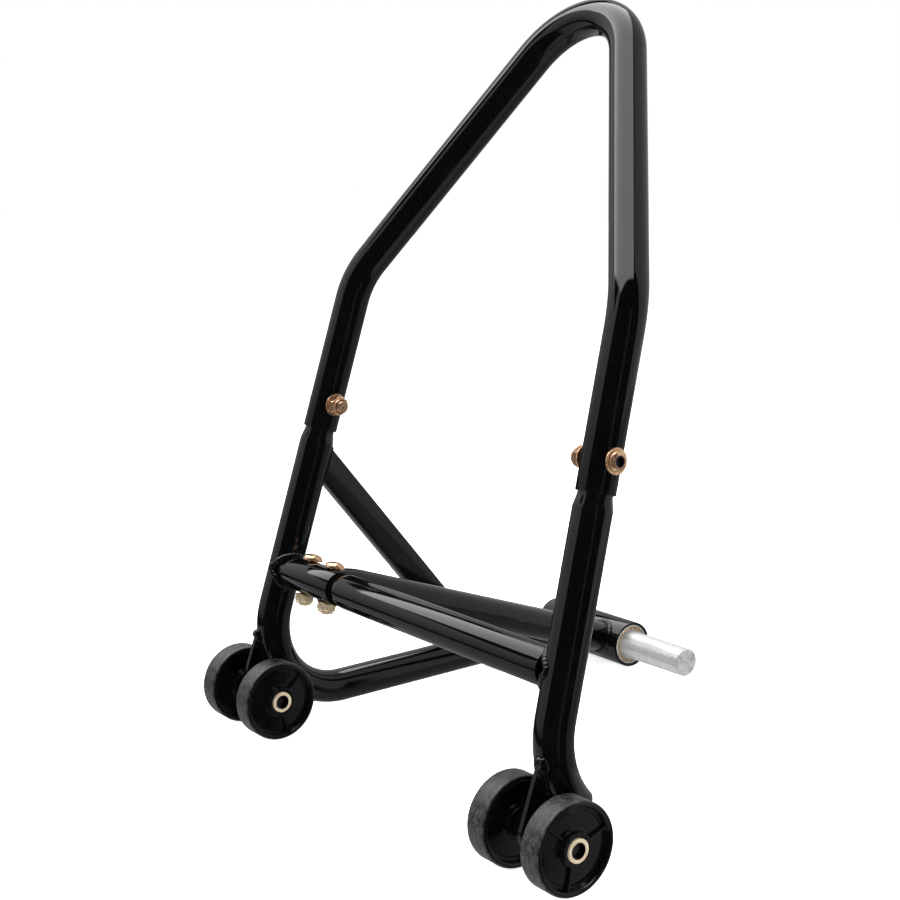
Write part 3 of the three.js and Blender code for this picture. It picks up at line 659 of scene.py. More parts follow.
routes = {side: foot_route(side) for side in SIDES}
leg_radius, leg_marks = swaged(SLEEVE_OVERLAP)
for side, name in SIDES.items():
    swept_tube(f"{name}_frame_tube", routes[side], leg_radius, leg(side, 100), leg_marks)

foot_end, foot_out = routes[RIGHT].points[-1], routes[RIGHT].directions[-1]
cap_profile = [
    (-5, 0), (-5, 11.6), (-4.2, 12.3), (0.3, 12.4), (0.3, 14.2), (1.9, 14.2), (1.9, 6.0), (1.4, 5.2), (1.4, 0),
]
cap_profile = rounded(cap_profile, 0.7)
turned_for("right_foot_cap", "moulded", cap_profile, foot_end, foot_out, "cap_plastic", 64)

# Cross tube socket on the left leg, and the cross tube whose neck slides into it.
# Both start just inside the wall of the leg they are welded to.
LEG_BITE = (TUBE_R - 0.8) * 0.98
socket_route = Route(cross_axis(leg(LEFT, CROSS_Z).x + LEG_BITE), [], cross_axis(SOCKET_END))
swept_tube("cross_tube_socket", socket_route, full_radius, cross_axis(-130))

neck_start = SOCKET_END - SOCKET_OVERLAP
cross_route = Route(cross_axis(neck_start), [], cross_axis(leg(RIGHT, CROSS_Z).x - LEG_BITE))
cross_radius, cross_marks = swaged(SOCKET_END + SHOULDER_STANDOFF - neck_start)
swept_tube("cross_tube", cross_route, cross_radius, cross_axis(0), cross_marks)

# The upper arm leaves the socket level, bends down and runs straight to the housing.
upper_rear = Vector((UPPER_REAR_X, cross_axis(0).y + UPPER_STANDOFF, UPPER_REAR_Z))
upper_front_z = UPPER_FRONT_Z - HOUSING_R * math.tan(UPPER_SLOPE)
upper_front = Vector((UPPER_FRONT_X, HOUSING_Y, upper_front_z))
upper_corner = upper_rear.copy()
upper_corner.y = HOUSING_Y - (UPPER_REAR_Z - upper_front_z) / math.tan(UPPER_SLOPE)
upper_dir = (upper_front - upper_corner).normalized()
upper_bend = {"at": upper_corner, "radius": UPPER_BEND}
upper_route = Route(upper_rear + Y * 5.4, [upper_bend], upper_front - upper_dir * 17.6)
swept_tube("upper_arm_tube", upper_route, full_radius, upper_corner)

# Diagonal brace: a rectangular tube with rounded corners.
brace_top = leg(LEFT, BRACE_TOP_Z)
arm_share = (BRACE_FRONT_Y - CORNER[LEFT].y) / (ARM_END.y - CORNER[LEFT].y)
brace_foot = CORNER[LEFT].lerp(ARM_END, arm_share)
brace_dir = (brace_foot - brace_top).normalized()
brace_side = (X - brace_dir * X.dot(brace_dir)).normalized()
brace_deep = brace_dir.cross(brace_side)


def rectangle(width, depth, corner, steps=5):
    """A rectangle with rounded corners."""
    out = []
    for quarter, (sx, sy) in enumerate(((1, 1), (-1, 1), (-1, -1), (1, -1))):
        u, v = sx * (width / 2 - corner), sy * (depth / 2 - corner)
        for i in range(steps + 1):
            t = (quarter + i / steps) * math.pi / 2
            out.append((u + corner * math.cos(t), v + corner * math.sin(t)))
    return out


brace_mid = (brace_top + brace_foot) / 2
BRACE_CORNER, BRACE_WALL = 2.6, 1.5


def brace_end(outline, at_leg, radius):
    """The outline carried to the leg, or to the arm, as far as that radius about its axis."""
    ring = [brace_mid + brace_side * u + brace_deep * v for u, v in outline]
    if at_leg:
        return cope(-brace_dir, ring, leg(LEFT, 0), leg_up(LEFT), radius)
    return cope(brace_dir, ring, CORNER[LEFT], ARM_DIR, radius)


brace_outer = rectangle(BRACE_WIDTH, BRACE_DEPTH, BRACE_CORNER)
brace_inner = rectangle(BRACE_WIDTH - 2 * BRACE_WALL, BRACE_DEPTH - 2 * BRACE_WALL, 1.2)
brace_verts = []
for outline, at_leg in ((brace_outer, True), (brace_outer, False), (brace_inner, False), (brace_inner, True)):
    brace_verts += brace_end(outline, at_leg, TUBE_R - 0.8)
brace_faces = wrap_rows(4, len(brace_outer), True)
brace = new_piece("diagonal_brace_formed", brace_verts, brace_faces, "powder_coat", brace_mid, 40)
stand_for(fix_facing(brace), "diagonal_brace")

# ---- housing, bearings, pin
pin_line = from_row(PIN_AXIS)


def on_pin(x):
    return Vector((x, pin_line.y, HOUSING_R))


def span_x(node):
    low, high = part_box(node)
    return low.x / MM, high.x / MM


house_0, house_1 = span_x("pin_housing")
right_0, right_1 = span_x("bearing_right_outer_race")
left_0, left_1 = span_x("bearing_left_outer_race")
SEAT_R, RACE_R, JOURNAL_R = 18.8, 18.5, 12.5
INNER_RACE_R = 14.0
HOUSING_LIP_R = 16.5  # between the bearing seats
pin_start = on_pin(0)


def ring_piece(node, made, inner, outer, edge, look, sides=128):
    """A plain ring about the pin's axis, between the ends of its node."""
    levels = ring_profile(*span_x(node), inner, outer, edge)
    turned_for(node, made, levels, pin_start, X, look, sides, True)


housing_profile = [
    (house_0, SEAT_R + 0.5), (house_0 + 0.5, SEAT_R), (left_1 + WELD_GAP, SEAT_R),
    (left_1 + WELD_GAP, HOUSING_LIP_R), (right_0 - WELD_GAP, HOUSING_LIP_R), (right_0 - WELD_GAP, SEAT_R),
    (house_1 - 0.5, SEAT_R), (house_1, SEAT_R + 0.5),
    (house_1, HOUSING_R - 0.7), (house_1 - 0.25, HOUSING_R - 0.2), (house_1 - 0.8, HOUSING_R),
    (house_0 + 0.8, HOUSING_R), (house_0 + 0.25, HOUSING_R - 0.2), (house_0, HOUSING_R - 0.7),
]
turned_for("pin_housing", "turned", housing_profile, pin_start, X, "powder_coat", 128, True, 40)

BALL_R, BALL_CIRCLE_R, BALLS = 1.25, 15.55, 10
CAGE_HALF, CAGE_DEPTH = 0.7, 0.5
for side, name in reversed(SIDES.items()):
    bearing = f"bearing_{name}"
    ring_piece(f"{bearing}_outer_race", "ground", 17.1, RACE_R, 0.5, "bearing_steel")
    ring_piece(f"{bearing}_inner_race", "ground", JOURNAL_R + 0.3, INNER_RACE_R, 0.4, "bearing_steel")
    inside, outside = span_x(f"{bearing}_shield")[::side]
    sunk = outside - 0.22 * side
    shield_levels = [
        (inside, 14.25), (sunk, 14.25), (outside, 14.5), (outside, 15.1), (sunk, 15.25),
        (sunk, 16.2), (outside, 16.35), (outside, 16.7), (sunk, 16.85), (inside, 16.85),
    ]
    look = "bearing_shield_gold"
    turned_for(f"{bearing}_shield", "pressed", shield_levels, pin_start, X, look, 128, True, 20)
    # Balls in a thin riveted cage.
    centre_x = sum(span_x(f"{bearing}_outer_race")) / 2
    cage_0, cage_1 = centre_x - CAGE_HALF, centre_x + CAGE_HALF
    cage_in, cage_out = BALL_CIRCLE_R - CAGE_DEPTH, BALL_CIRCLE_R + CAGE_DEPTH
    cage_levels = [(cage_0, cage_in), (cage_1, cage_in), (cage_1, cage_out), (cage_0, cage_out)]
    verts, faces = lathe(cage_levels, pin_start, X, 96, True)
    for i in range(BALLS):
        t = i / BALLS * math.tau
        ball = on_pin(centre_x) + (Y * math.sin(t) + Z * math.cos(t)) * BALL_CIRCLE_R
        arc = [(-BALL_R * math.cos(k / 8 * math.pi), BALL_R * math.sin(k / 8 * math.pi)) for k in range(9)]
        arc[0], arc[-1] = (-BALL_R, 0), (BALL_R, 0)
        ball_verts, ball_faces = lathe(arc, ball, X, 16)
        faces += [[v + len(verts) for v in f] for f in ball_faces]
        verts += ball_verts
    cage = new_piece(f"{bearing}_ball_cage_filled", verts, faces, "bearing_steel", on_pin(centre_x))
    stand_for(fix_facing(cage), f"{bearing}_ball_cage")

PIN_R = 12.8
ring_piece("bearing_spacer", "turned", PIN_R, INNER_RACE_R, 0.3, "machined_steel", 96)
ring_piece("pin_thrust_washer", "stamped", PIN_R, 14.5, 0.25, "machined_steel", 96)

clip_0, clip_1 = span_x("pin_retaining_ring")
CLIP_GAP, CLIP_R, CLIP_STEPS = 16 * DEG, 11.8, 80
clip_verts = []
for k in range(CLIP_STEPS + 1):
    t = CLIP_GAP / 2 + (math.tau - CLIP_GAP) * k / CLIP_STEPS
    width = 1.5 + 0.9 * abs(math.sin(t / 2))
    direction = -Z * math.cos(t) + Y * math.sin(t)
    for x, r in ((clip_0, CLIP_R), (clip_1, CLIP_R), (clip_1, CLIP_R + width), (clip_0, CLIP_R + width)):
        clip_verts.append(on_pin(x) + direction * r)
clip_faces = wrap_rows(CLIP_STEPS + 1, 4, False)
clip_faces += [[0, 1, 2, 3], [4 * CLIP_STEPS + i for i in range(4)]]
clip = new_piece("pin_retaining_ring_sprung", clip_verts, clip_faces, "bearing_steel", on_pin(clip_0))
stand_for(bevelled(fix_facing(clip), 0.15, 2), "pin_retaining_ring")

pin_0, pin_1 = span_x("lift_pin")
GROOVE_R = 11.5  # under the retaining ring
pin_profile = [
    (pin_0, 0), (pin_0, 11.7), (pin_0 + 0.8, JOURNAL_R), (clip_0 - 0.2, JOURNAL_R), (clip_0 - 0.2, GROOVE_R),
    (clip_1 + 0.2, GROOVE_R), (clip_1 + 0.2, JOURNAL_R),
    (right_1 + WELD_GAP, JOURNAL_R), (right_1 + WELD_GAP, PIN_R), (pin_1 - 1.7, PIN_R),
    (pin_1 - 1.2, PIN_R - 0.18), (pin_1 - 0.2, PIN_R - 1.25), (pin_1, PIN_R - 1.7),
    (pin_1, 1.1), (pin_1 - 0.7, 0.5), (pin_1 - 0.9, 0),
]
# The profile is measured from the layout's zero, and the pin's own zero is its middle.
pin_middle = (pin_0 + pin_1) / 2
pin = turned("lift_pin_turned", pin_profile, on_pin(pin_middle), X, "machined_steel", 128, False, 14)
for v in pin.data.vertices:
    v.co.x -= pin_middle * MM
stand_for(pin, "lift_pin")

# ---- handle
knees = {s: leg(s, KNEE_Z) for s in SIDES}
slant = knees[LEFT].x / -math.sin(HANDLE_TAPER)
apex = Vector((
    0,
    knees[LEFT].y + slant * math.cos(HANDLE_TAPER) * math.sin(HANDLE_LEAN),
    KNEE_Z + slant * math.cos(HANDLE_TAPER) * math.cos(HANDLE_LEAN),
))
handle_bends = [
    {"at": knees[LEFT], "radius": KNEE_BEND},
    {"at": apex, "radius": TOP_BEND},
    {"at": knees[RIGHT], "radius": KNEE_BEND},
]
handle_route = Route(leg(LEFT, SLEEVE_Z), handle_bends, leg(RIGHT, SLEEVE_Z))
swept_tube("handle_tube", handle_route, full_radius, apex, (), 0.5, 96)

# ---- fasteners


def hexagon(flats, limit=math.inf):
    """The radius of a hexagon at an angle, with its corners turned off at the limit."""
    def radius(angle):
        t = angle % (math.pi / 3) - math.pi / 6
        return min(flats / 2 / math.cos(t), limit)
    return radius


def darken_socket(piece, deepest, edge, radius):
    """The inside of a socket, seen from its mouth at the edge, gets the shadowed look."""
    piece.data.materials.append(MATERIALS["socket_shadow"])
    axis = piece["axis"]
    for polygon in piece.data.polygons:
        along = sum(c * a for c, a in zip(polygon.center, axis)) / MM
        across = math.sqrt(max(0.0, polygon.center.length_squared / MM ** 2 - along ** 2))
        if deepest - 0.2 < along < edge and across < radius:
            polygon.material_index = 1
    return piece


def dome_levels(seat, tail, shank, head, height, socket=0.0):
    """A domed bolt: threaded shank, head and an optional hexagon socket, along +X."""
    thread_from = -8
    levels = [(tail, 0), (tail, shank - 0.9), (tail + 0.9, shank - 0.1), (thread_from, shank - 0.1)]
    levels += [(thread_from + 0.2, shank), (seat, shank), (seat, head - 0.5), (seat + 0.2, head)]
    steps = 14
    inner = socket * 1.22 if socket else 0.0
    for k in range(steps + 1):
        t = k / steps * math.pi / 2
        r = head * math.cos(t) ** 0.85
        if r < inner:
            break
        levels.append((seat + 0.7 + (height - 0.7) * math.sin(t), max(r, 0.0)))
    if not socket:
        return levels
    top = levels[-1][0]
    flats = socket * 2 * math.cos(math.pi / 6)
    levels += [(top + 0.05, inner), (top, hexagon(flats)), (top - 2.4, hexagon(flats * 0.985))]
    return [*levels, (top - 3.0, 0.6), (top - 3.1, 0)]


def thread(name, x0, x1, radius, depth, origin, direction, look):
    """A rolled screw thread as a sleeve round the shank."""
    pitch, rows_per_turn = 1.25, 8
    rows = max(2, int((x1 - x0) / pitch * rows_per_turn))
    levels = [(x0, radius - depth * 1.6)]
    for k in range(rows + 1):
        x = x0 + (x1 - x0) * k / rows
        fade = min(1.0, (x - x0) / (pitch * 0.7), (x1 - x) / (pitch * 0.3) + 0.05)

        def height(angle, x=x, fade=fade):
            t = (x / pitch - angle / math.tau) % 1.0
            return radius - depth + depth * fade * min(1.0, 1.35 * (1 - abs(2 * t - 1)))
        levels.append((x, height))
    levels.append((x1, radius - depth * 1.6))
    trim(turned(name, levels, origin, direction, look, 48, True, 60))


def nut_levels(seat, bore, flats, hex_height, collar):
    """A lock nut along -X from its seat, with chamfered corners and a rolled collar."""
    corner = flats / 2 / math.cos(math.pi / 6)
    face_r, back_r = flats / 2 * 0.96, flats / 2 * 0.93
    chamfer = 1.5
    levels = [(seat - 0.4, bore), (seat, bore + 0.5), (seat, face_r)]
    for k in range(6):
        t = k / 5
        limit = face_r + (corner - face_r) * t ** 0.7
        levels.append((seat - 0.15 - chamfer * 0.55 * t, hexagon(flats, limit)))
    end = seat - hex_height
    for k in range(7):
        t = 1 - k / 6
        limit = back_r + (corner - back_r) * t ** 0.7
        levels.append((end + chamfer * t, hexagon(flats, limit)))
    levels += [(end - 0.1, flats * 0.44), (end - collar * 0.55, flats * 0.438)]
    for k in range(1, 7):
        t = k / 6 * math.pi / 2
        along = end - collar * (0.55 + 0.45 * math.sin(t))
        levels.append((along, flats * (0.438 - 0.075 * (1 - math.cos(t)))))
    levels += [(end - collar * 0.98, bore + 1.0), (end - collar * 0.55, bore + 0.2)]
    return [*levels, (end - collar * 0.5, bore)]


def across_leg(side):
    up = leg_up(side)
    return (X - up * X.dot(up)).normalized() * side


COLLAR = 2.2  # of a lock nut, beyond its hexagon
WASHER_T, WASHER_BORE, WASHER_R = 1.2, 5.4, 9.5
SEAT = TUBE_R + WELD_GAP  # where a bolt, nut or washer sits on a tube
for side, name in SIDES.items():
    centre, out = leg(side, HANDLE_BOLT_Z), across_leg(side)
    nut_seat = SEAT + WASHER_T + WELD_GAP
    bolt_seat = nut_seat if side == RIGHT else SEAT
    tail = -nut_seat - 6.5 - COLLAR - 1.6
    bolt_levels = dome_levels(bolt_seat, tail, 4.9, 7.4, 3.6, 3.6)
    bolt = turned(f"handle_bolt_{name}_forged", bolt_levels, centre, out, "yellow_zinc", sharp=36)
    stand_for(darken_socket(bolt, bolt_seat, bolt_seat + 3.0, 4.3), f"handle_bolt_{name}")
    thread(f"handle_bolt_{name}_thread", tail + 0.3, tail + 6.5, 5.02, 0.5, centre, out, "yellow_zinc")
    nut_shape = nut_levels(-nut_seat, 5.4, 15, 6.5, COLLAR)
    turned_for(f"handle_nut_{name}", "formed", nut_shape, centre, out, "yellow_zinc", closed=True, sharp=28)
    washers = {f"handle_nut_washer_{name}": -SEAT - WASHER_T}
    if side == RIGHT:
        washers["handle_bolt_washer_right"] = SEAT
    for node, x in washers.items():
        flat = ring_profile(x, x + WASHER_T, WASHER_BORE, WASHER_R, 0.35)
        turned_for(node, "stamped", flat, centre, out, "yellow_zinc", closed=True)

cross_up = Vector((0, math.sin(LEAN), math.cos(LEAN)))
for i, x in enumerate(CROSS_BOLTS, 1):
    centre = cross_axis(x)
    tail = -SEAT - 6 - COLLAR - 1.2
    bolt_levels = dome_levels(SEAT, tail, 3.9, 8.5, 5.6)
    turned_for(f"cross_bolt_{i}", "forged", bolt_levels, centre, cross_up, "yellow_zinc", sharp=50)
    thread(f"cross_bolt_{i}_thread", tail + 0.3, tail + 4.5, 4.02, 0.45, centre, cross_up, "pale_zinc")
    nut_shape = nut_levels(-SEAT, 4.4, 15, 6, COLLAR)
    turned_for(f"cross_nut_{i}", "formed", nut_shape, centre, cross_up, "pale_zinc", 72, True, 28, 15 * DEG)

# ---- wheels and axles
# Degrees from Y to the first of the three ribs of each wheel, as the wheels came to rest.
RIB_ANGLES = {"left_wheel_a": 10, "left_wheel_b": 42, "right_wheel_a": 60, "right_wheel_b": 17}


def wheel_mesh(ribs_at):
    """Verts and faces of one wheel about its centre: recessed faces, rim lips, hub and ribs."""
    half = WHEEL_WIDTH / 2
    tread_r, shoulder = WHEEL_R - 0.02, 2.4
    # From the bore out to the rim: how far each corner is sunk below the rim, and its radius.
    corners = [
        (3, 5.4), (3, 9.3), (-1.2, 9.3), (-1.2, 12.0), (3.6, 12.9), (4.2, 13.6), (4.2, 25.4),
        (4.8, 26.2), (4.8, 27.8), (1.1, 29.0), (0.2, 29.6), (0, 30.2),
    ]
    for k in range(7):
        t = k / 6 * math.pi / 2
        corners.append((shoulder * (1 - math.cos(t)), tread_r - shoulder * (1 - math.sin(t))))
    face = [(half - sunk, r) for sunk, r in corners]
    tread = [(half * 0.6, tread_r), (0.5, tread_r), (0.25, WHEEL_R)]
    near = [*face, *tread]
    outline = rounded([*near, *[(-x, r) for x, r in reversed(near)]], 0.35, 3)
    verts, faces = lathe(outline, Vector(), X, 128, True)
    for s in (1, -1):
        for k in range(3):
            t = (ribs_at + 120 * k) * DEG
            out, across = Y * math.cos(t) + Z * math.sin(t), -Y * math.sin(t) + Z * math.cos(t)
            base = len(verts)
            for r, rise in ((12.3, 1.6), (28.4, 1.9)):
                for x, w in ((half - 4.6, 1.05), (half - rise, 0.7)):
                    for sign in (-1, 1):
                        verts.append(X * s * x + out * r + across * w * sign)
            box = [(0, 1, 3, 2), (4, 6, 7, 5), (0, 2, 6, 4), (1, 5, 7, 3), (2, 3, 7, 6), (0, 4, 5, 1)]
            faces += [[base + v for v in f] for f in box]
    return verts, faces


for node, ribs_at in RIB_ANGLES.items():
    centre = from_row(middle(node))
    centre.z = WHEEL_R
    verts, faces = wheel_mesh(ribs_at)
    wheel = new_piece(f"{node}_moulded", [v + centre for v in verts], faces, "wheel_plastic", centre, 30)
    stand_for(fix_facing(wheel), node)


AXLE_HEAD_R, AXLE_SOCKET_R = 8.6, 5.8


def axle_head(seat, face):
    """The round head with a hexagon socket, from its seat to the middle of the socket."""
    flats = AXLE_SOCKET_R * 2 * math.cos(math.pi / 6)
    rim, deepest = AXLE_HEAD_R, face - 3.4
    return [
        (seat, rim - 0.2), (seat + 0.2, rim), (face - 0.5, rim), (face - 0.15, rim - 0.15), (face, rim - 0.5),
        (face, 6.4), (face - 0.35, lambda t: max(5.95, hexagon(flats)(t))), (face - 0.6, hexagon(flats)),
        (face - 3.2, hexagon(flats * 0.985)), (deepest, 3.0), (deepest, 0),
    ]


OUTER_FACE = INNER_FACE + WHEEL_WIDTH
SLEEVE_BORE_R, SLEEVE_R = 3.9, 5.0
for side, name in SIDES.items():
    axle = Vector((side * TRACK, 0, WHEEL_R))
    face, seat = OUTER_FACE + 2.2, OUTER_FACE - 2.7
    bolt = [(seat - 30, 0), (seat - 30, 3.0), (seat - 29.5, 3.5), (seat, 3.5), *axle_head(seat, face)]
    head = turned(f"{name}_axle_bolt_machined", bolt, axle, X, "axle_zinc", 72, False, 30, 20 * DEG * side)
    stand_for(darken_socket(head, face - 3.5, face - 0.3, 6.4), f"{name}_axle_bolt")
    mouth = seat - WELD_GAP
    sleeve = [(mouth - 34, 0), (mouth - 34, SLEEVE_BORE_R), (mouth, SLEEVE_BORE_R), (mouth, SLEEVE_R)]
    sleeve += [(-seat, SLEEVE_R), *[(-x, r) for x, r in axle_head(seat, face)]]
    head = turned(f"{name}_axle_sleeve_machined", sleeve, axle, X, "axle_zinc", 72, False, 30, 8 * DEG)
    stand_for(darken_socket(head, -face + 0.1, -face + 3.6, 6.4), f"{name}_axle_sleeve")
    spacer = ring_profile(BRACKET_T / 2 + WELD_GAP, INNER_FACE + 2.7, 5.4, 9.0, 0.5)
    for s, place in ((-1, "a"), (1, "b")):
        levels = [(s * x, r) for x, r in spacer]
        turned_for(f"{name}_axle_spacer_{place}", "cut", levels, axle, X, "spacer_black", 64, True)

# ---- wheel brackets


def rearward(direction):
    """Straight back from a tube that runs in that direction."""
    return Vector((0, direction.z, -direction.y)).normalized()


def bracket(side, name):
    """A plate with a rounded eye, cut to follow the back of the foot."""
    eye_angles = [DEG * (160 + 5 * i) for i in range(29)]
    eye = [(BRACKET_EYE * math.cos(t), WHEEL_R + BRACKET_EYE * math.sin(t)) for t in eye_angles]
    back = [(leg(side, BRACKET_TOP).y - 12.6, BRACKET_TOP - 1.5)]
    for p, a in zip(routes[side].points, routes[side].directions):
        q = p + rearward(a) * (TUBE_R - 1.2)
        if 24 < p.z < BRACKET_TOP + 6 and 26 < q.z < BRACKET_TOP - 1.5:
            back.append((q.y, q.z))
    outline = [(1.2, BRACKET_TOP - 0.6), *eye, *reversed(back)]
    verts = [Vector((side * TRACK + s * BRACKET_T / 2, y, z)) for s in (-1, 1) for y, z in outline]
    n = len(outline)
    faces = [*wrap_rows(2, n, False), list(range(n)), list(range(n, 2 * n))]
    centre = Vector((side * TRACK, 0, WHEEL_R))
    plate = new_piece(f"{name}_wheel_bracket_cut", verts, faces, "powder_coat", centre, 35)
    stand_for(bevelled(fix_facing(plate), 0.5, 3), f"{name}_wheel_bracket")


for side, name in SIDES.items():
    bracket(side, name)

# ---- welds
# Each bead is given by its path, width, seed and unevenness.
for name, side, width, seed, lumps in (
        ("weld_socket_left_leg", LEFT, 4.8, 1, 0.7), ("weld_cross_right_leg", RIGHT, 4.4, 2, 0.6)):
    end = circle(cross_axis(side * 150), X, TUBE_R)
    bead(name, cope(X * side, end, leg(side, 0), leg_up(side), TUBE_R + 0.1), width, seed, lumps)
end = circle(upper_rear + Y * 30, Y, TUBE_R * 0.96)
bead("weld_upper_arm_socket", cope(-Y, end, cross_axis(0), X, TUBE_R + 0.6), 4.4, 3, 0.8)
end = circle(upper_front - upper_dir * 60, upper_dir, TUBE_R)
bead("weld_upper_arm_housing", cope(upper_dir, end, on_pin(0), X, HOUSING_R + 0.4), 4.8, 4)
end = circle(ARM_END - ARM_DIR * 60, ARM_DIR, TUBE_R)
bead("weld_arm_housing", cope(ARM_DIR, end, on_pin(0), X, HOUSING_R + 0.2), 4.2, 5)
brace_rim = rectangle(BRACE_WIDTH, BRACE_DEPTH, BRACE_CORNER, 12)
bead("weld_brace_leg", brace_end(brace_rim, True, TUBE_R + 0.2), 3.4, 6)
bead("weld_brace_arm", brace_end(brace_rim, False, TUBE_R + 0.2), 3.4, 7)


def bracket_seam(side):
    """Up one face of the bracket where it meets the foot's back, over its top and down the other."""
    halves = []
    for s in (-1, 1):
        x = side * TRACK + s * (BRACKET_T / 2 + 0.6)
        half = []
        for p, a in zip(routes[side].points, routes[side].directions):
            dx = x - p.x
            q = Vector((x, p.y, p.z)) + rearward(a) * math.sqrt(max(0.0, TUBE_R ** 2 - dx * dx))
            if 38 < q.z < BRACKET_TOP - 2:
                half.append(q)
        halves.append(half)
    return [*reversed(halves[0]), *halves[1]]


for side, name in SIDES.items():
    seam = bracket_seam(side)
    peak = [p for p in seam if p.z > BRACKET_TOP - 12]
    bead(f"weld_{name}_bracket", seam, 4.8, 10 + side, 1.0, False)
    bead(f"weld_{name}_bracket_top", peak, 7.6, 20 + side, 1.2, False)

# ---- stage
floor_mesh = bpy.data.meshes.new("floor")
floor_mesh.from_pydata([(-6, -6, 0), (6, -6, 0), (6, 6, 0), (-6, 6, 0)], [], [[0, 1, 2, 3]])
floor = bpy.data.objects.new("floor", floor_mesh)
link(floor)
floor.location.z = -0.0003
floor_look, floor_shader = material("floor_white")
fill(floor_shader, Base_Color=(0.95, 0.95, 0.95, 1), Roughness=0.9, Specular_IOR_Level=0.0)
fill(floor_shader, Emission_Color=(1, 1, 1, 1), Emission_Strength=0.75)
floor_mesh.materials.append(floor_look)
floor.visible_glossy = False

# The room, as bands of white round a dark corner at its front. Shiny surfaces mirror these
# bands, rough ones get an even light, and the backdrop itself is white.
ROOM_FRONT = Vector((0.815, -0.580, 0.0))
ROOM_RIGHT = Vector((0.580, 0.815, 0.0))
world = bpy.data.worlds.new("studio")
bpy.context.scene.world = world
world.use_nodes = True
world_nodes = world.node_tree.nodes
world_nodes.clear()


def world_node(kind, **values):
    return fill(world_nodes.new("ShaderNode" + kind), **values)


def world_math(operation, a, b=0.0):
    return math_node(world.node_tree, operation, a, b)


def plus(a, b):
    return world_math("ADD", a, b)


def minus(a, b):
    return world_math("SUBTRACT", a, b)


def larger(a, b):
    return world_math("MAXIMUM", a, b)


def times(*values):
    total = values[0]
    for v in values[1:]:
        total = world_math("MULTIPLY", total, v)
    return total


def above(value, edge, soft=0.012):
    """1 above the edge and 0 below it."""
    n = world_node("MapRange", Value=value, From_Min=edge - soft, From_Max=edge + soft)
    n.interpolation_type = "SMOOTHSTEP"
    return n.outputs["Result"]


def below(value, edge, soft=0.012):
    return minus(1.0, above(value, edge, soft))


def flat_dot(direction, axis):
    """How far the direction goes along a level axis."""
    return plus(*[times(direction.outputs[i], axis[i]) for i in (0, 1)])


ray = world_node("SeparateXYZ", Vector=world_node("TexCoord").outputs["Generated"])
rise = ray.outputs["Z"]
toward, sideways = flat_dot(ray, ROOM_FRONT), flat_dot(ray, ROOM_RIGHT)
spread = world_math("SQRT", plus(times(toward, toward), times(sideways, sideways)))
facing = world_math("DIVIDE", toward, larger(spread, 0.001))
on_right = above(sideways, 0.0, 0.05)
up_rise = larger(rise, 0.05)
ceiling_across = world_math("DIVIDE", sideways, up_rise)
ceiling_along = world_math("DIVIDE", toward, up_rise)
slanted = minus(ceiling_across, times(ceiling_along, 0.6))
ceiling = times(
    above(rise, 0.1), above(slanted, -1.08, 0.10), below(ceiling_across, 0.40, 0.03),
    above(ceiling_along, -0.95, 0.02), below(ceiling_along, 0.42, 0.04),
)
no_ceiling = minus(1.0, ceiling)
ceiling_glow = plus(larger(times(ceiling_along, -3.0), 0.6), 2.9)
walls = below(facing, 0.365, 0.035)
wall_top = larger(plus(times(facing, -0.12), 0.462), times(above(facing, 0.06, 0.05), 0.72))
under_top = below(minus(rise, wall_top), 0.0, 0.008)
left_glow = plus(times(rise, 1.15), 0.46)
left_wall = times(walls, minus(1.0, on_right), above(rise, -0.12, 0.04), under_top, left_glow)
FLOOR_RISE = -0.24  # the floor's far edge, as a height of the ray
right_wall = times(walls, on_right, above(rise, FLOOR_RISE), below(rise, 0.90, 0.03))
rail = times(below(facing, -0.85, 0.02), above(rise, 0.590, 0.003), below(rise, 0.604, 0.003))
low_down, past_corner = below(rise, FLOOR_RISE), below(facing, 0.375, 0.1)
dim_floor = times(low_down, past_corner, on_right)
near_floor = times(low_down, larger(past_corner, below(rise, -0.66, 0.05)))
post = times(
    above(sideways, 0.30, 0.03), below(sideways, 0.44, 0.03),
    above(toward, 0.0), above(rise, -0.3), below(rise, 0.55),
)
mirrored = 0.008
for part, strength in (
        (times(ceiling, ceiling_glow), 1.0), (times(left_wall, no_ceiling), 1.0),
        (times(right_wall, no_ceiling), 0.62), (near_floor, 0.54), (dim_floor, -0.26),
        (rail, 1.2), (times(post, no_ceiling), 0.22)):
    mirrored = plus(times(part, strength), mirrored)


def background(brightness):
    return world_node("Background", Color=(brightness, brightness, brightness, 1))


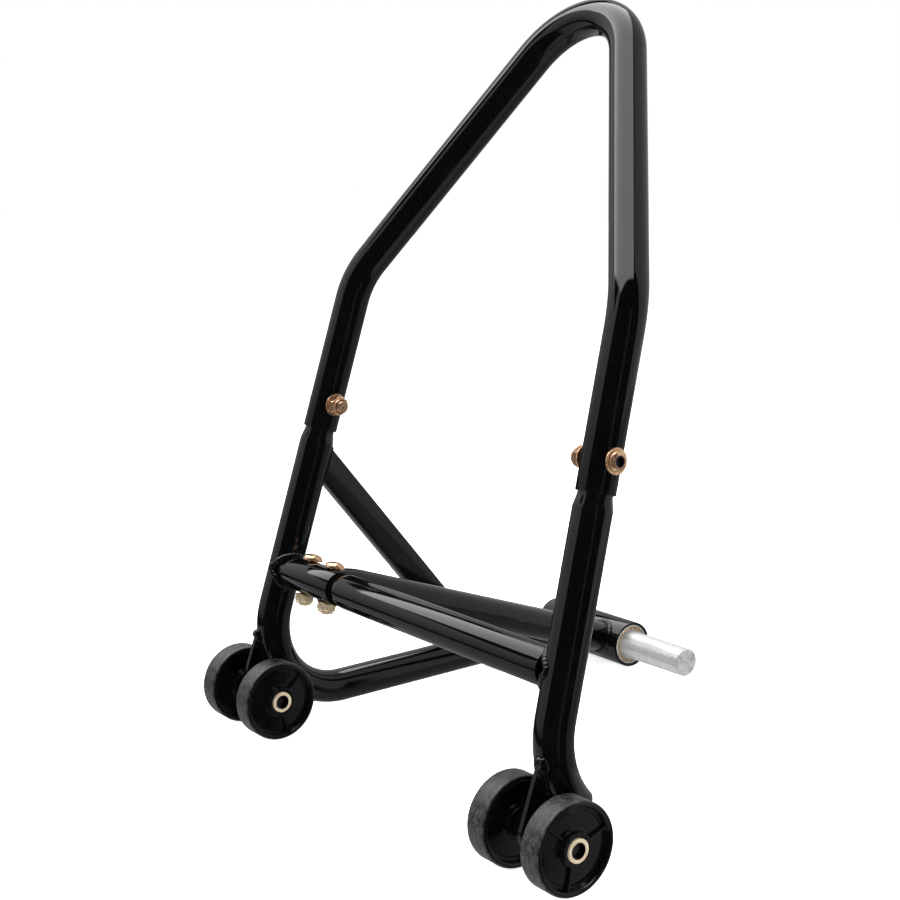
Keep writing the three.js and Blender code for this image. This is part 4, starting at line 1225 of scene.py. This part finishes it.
def choose(ray_kind, otherwise, chosen):
    n = world_node("MixShader", Fac=rays.outputs[ray_kind])
    put(otherwise.outputs[0], n.inputs[1])
    put(chosen.outputs[0], n.inputs[2])
    return n


rays = world_node("LightPath")
room = fill(background(0.8), Strength=mirrored)
lit = choose("Is Glossy Ray", background(0.62), room)
seen = choose("Is Camera Ray", lit, background(1.0))
world_node("OutputWorld", Surface=seen.outputs[0])


def softbox(name, place, target, width, height, power):
    """A soft light that shiny surfaces don't mirror."""
    light = bpy.data.lights.new(name, "AREA")
    light.shape = "RECTANGLE"
    light.size, light.size_y = width, height
    light.energy = power
    lamp = bpy.data.objects.new(name, light)
    lamp.location = place
    lamp.rotation_mode = "QUATERNION"
    lamp.rotation_quaternion = (Vector(target) - Vector(place)).to_track_quat("-Z", "Y")
    lamp.visible_glossy = False
    link(lamp)


softbox("key_softbox", (0.2, -2.2, 1.6), (0, 0, 0.3), 1.2, 1.6, 60)
softbox("side_softbox", (2.3, 0.7, 1.3), (0, 0, 0.25), 0.9, 1.6, 45)
softbox("top_softbox", (-0.6, 0.6, 2.4), (0, 0, 0.2), 1.8, 1.2, 60)

# The camera of the photograph, in the row frame.
CAMERA_AT = Vector((1.034057, -0.664283 + AXLE_Y, 0.499866))
CAMERA_RIGHT = Vector((0.58453, 0.81086, -0.02892))
CAMERA_FORWARD = Vector((-0.80032, 0.57034, -0.18492))
CAMERA_LENS = 67.065
camera_data = bpy.data.cameras.new("camera")
camera = bpy.data.objects.new("camera", camera_data)
link(camera)
forward = CAMERA_FORWARD.normalized()
right = (CAMERA_RIGHT - forward * CAMERA_RIGHT.dot(forward)).normalized()
turn = Matrix((right, right.cross(forward), -forward)).transposed()
camera.matrix_world = Matrix.Translation(CAMERA_AT) @ turn.to_4x4()
camera_data.sensor_width = 36
camera_data.lens = CAMERA_LENS
camera_data.clip_start, camera_data.clip_end = 0.05, 50
bpy.context.scene.camera = camera
bpy.context.scene.view_settings.view_transform = "Standard"
bpy.context.scene.view_settings.look = "None"
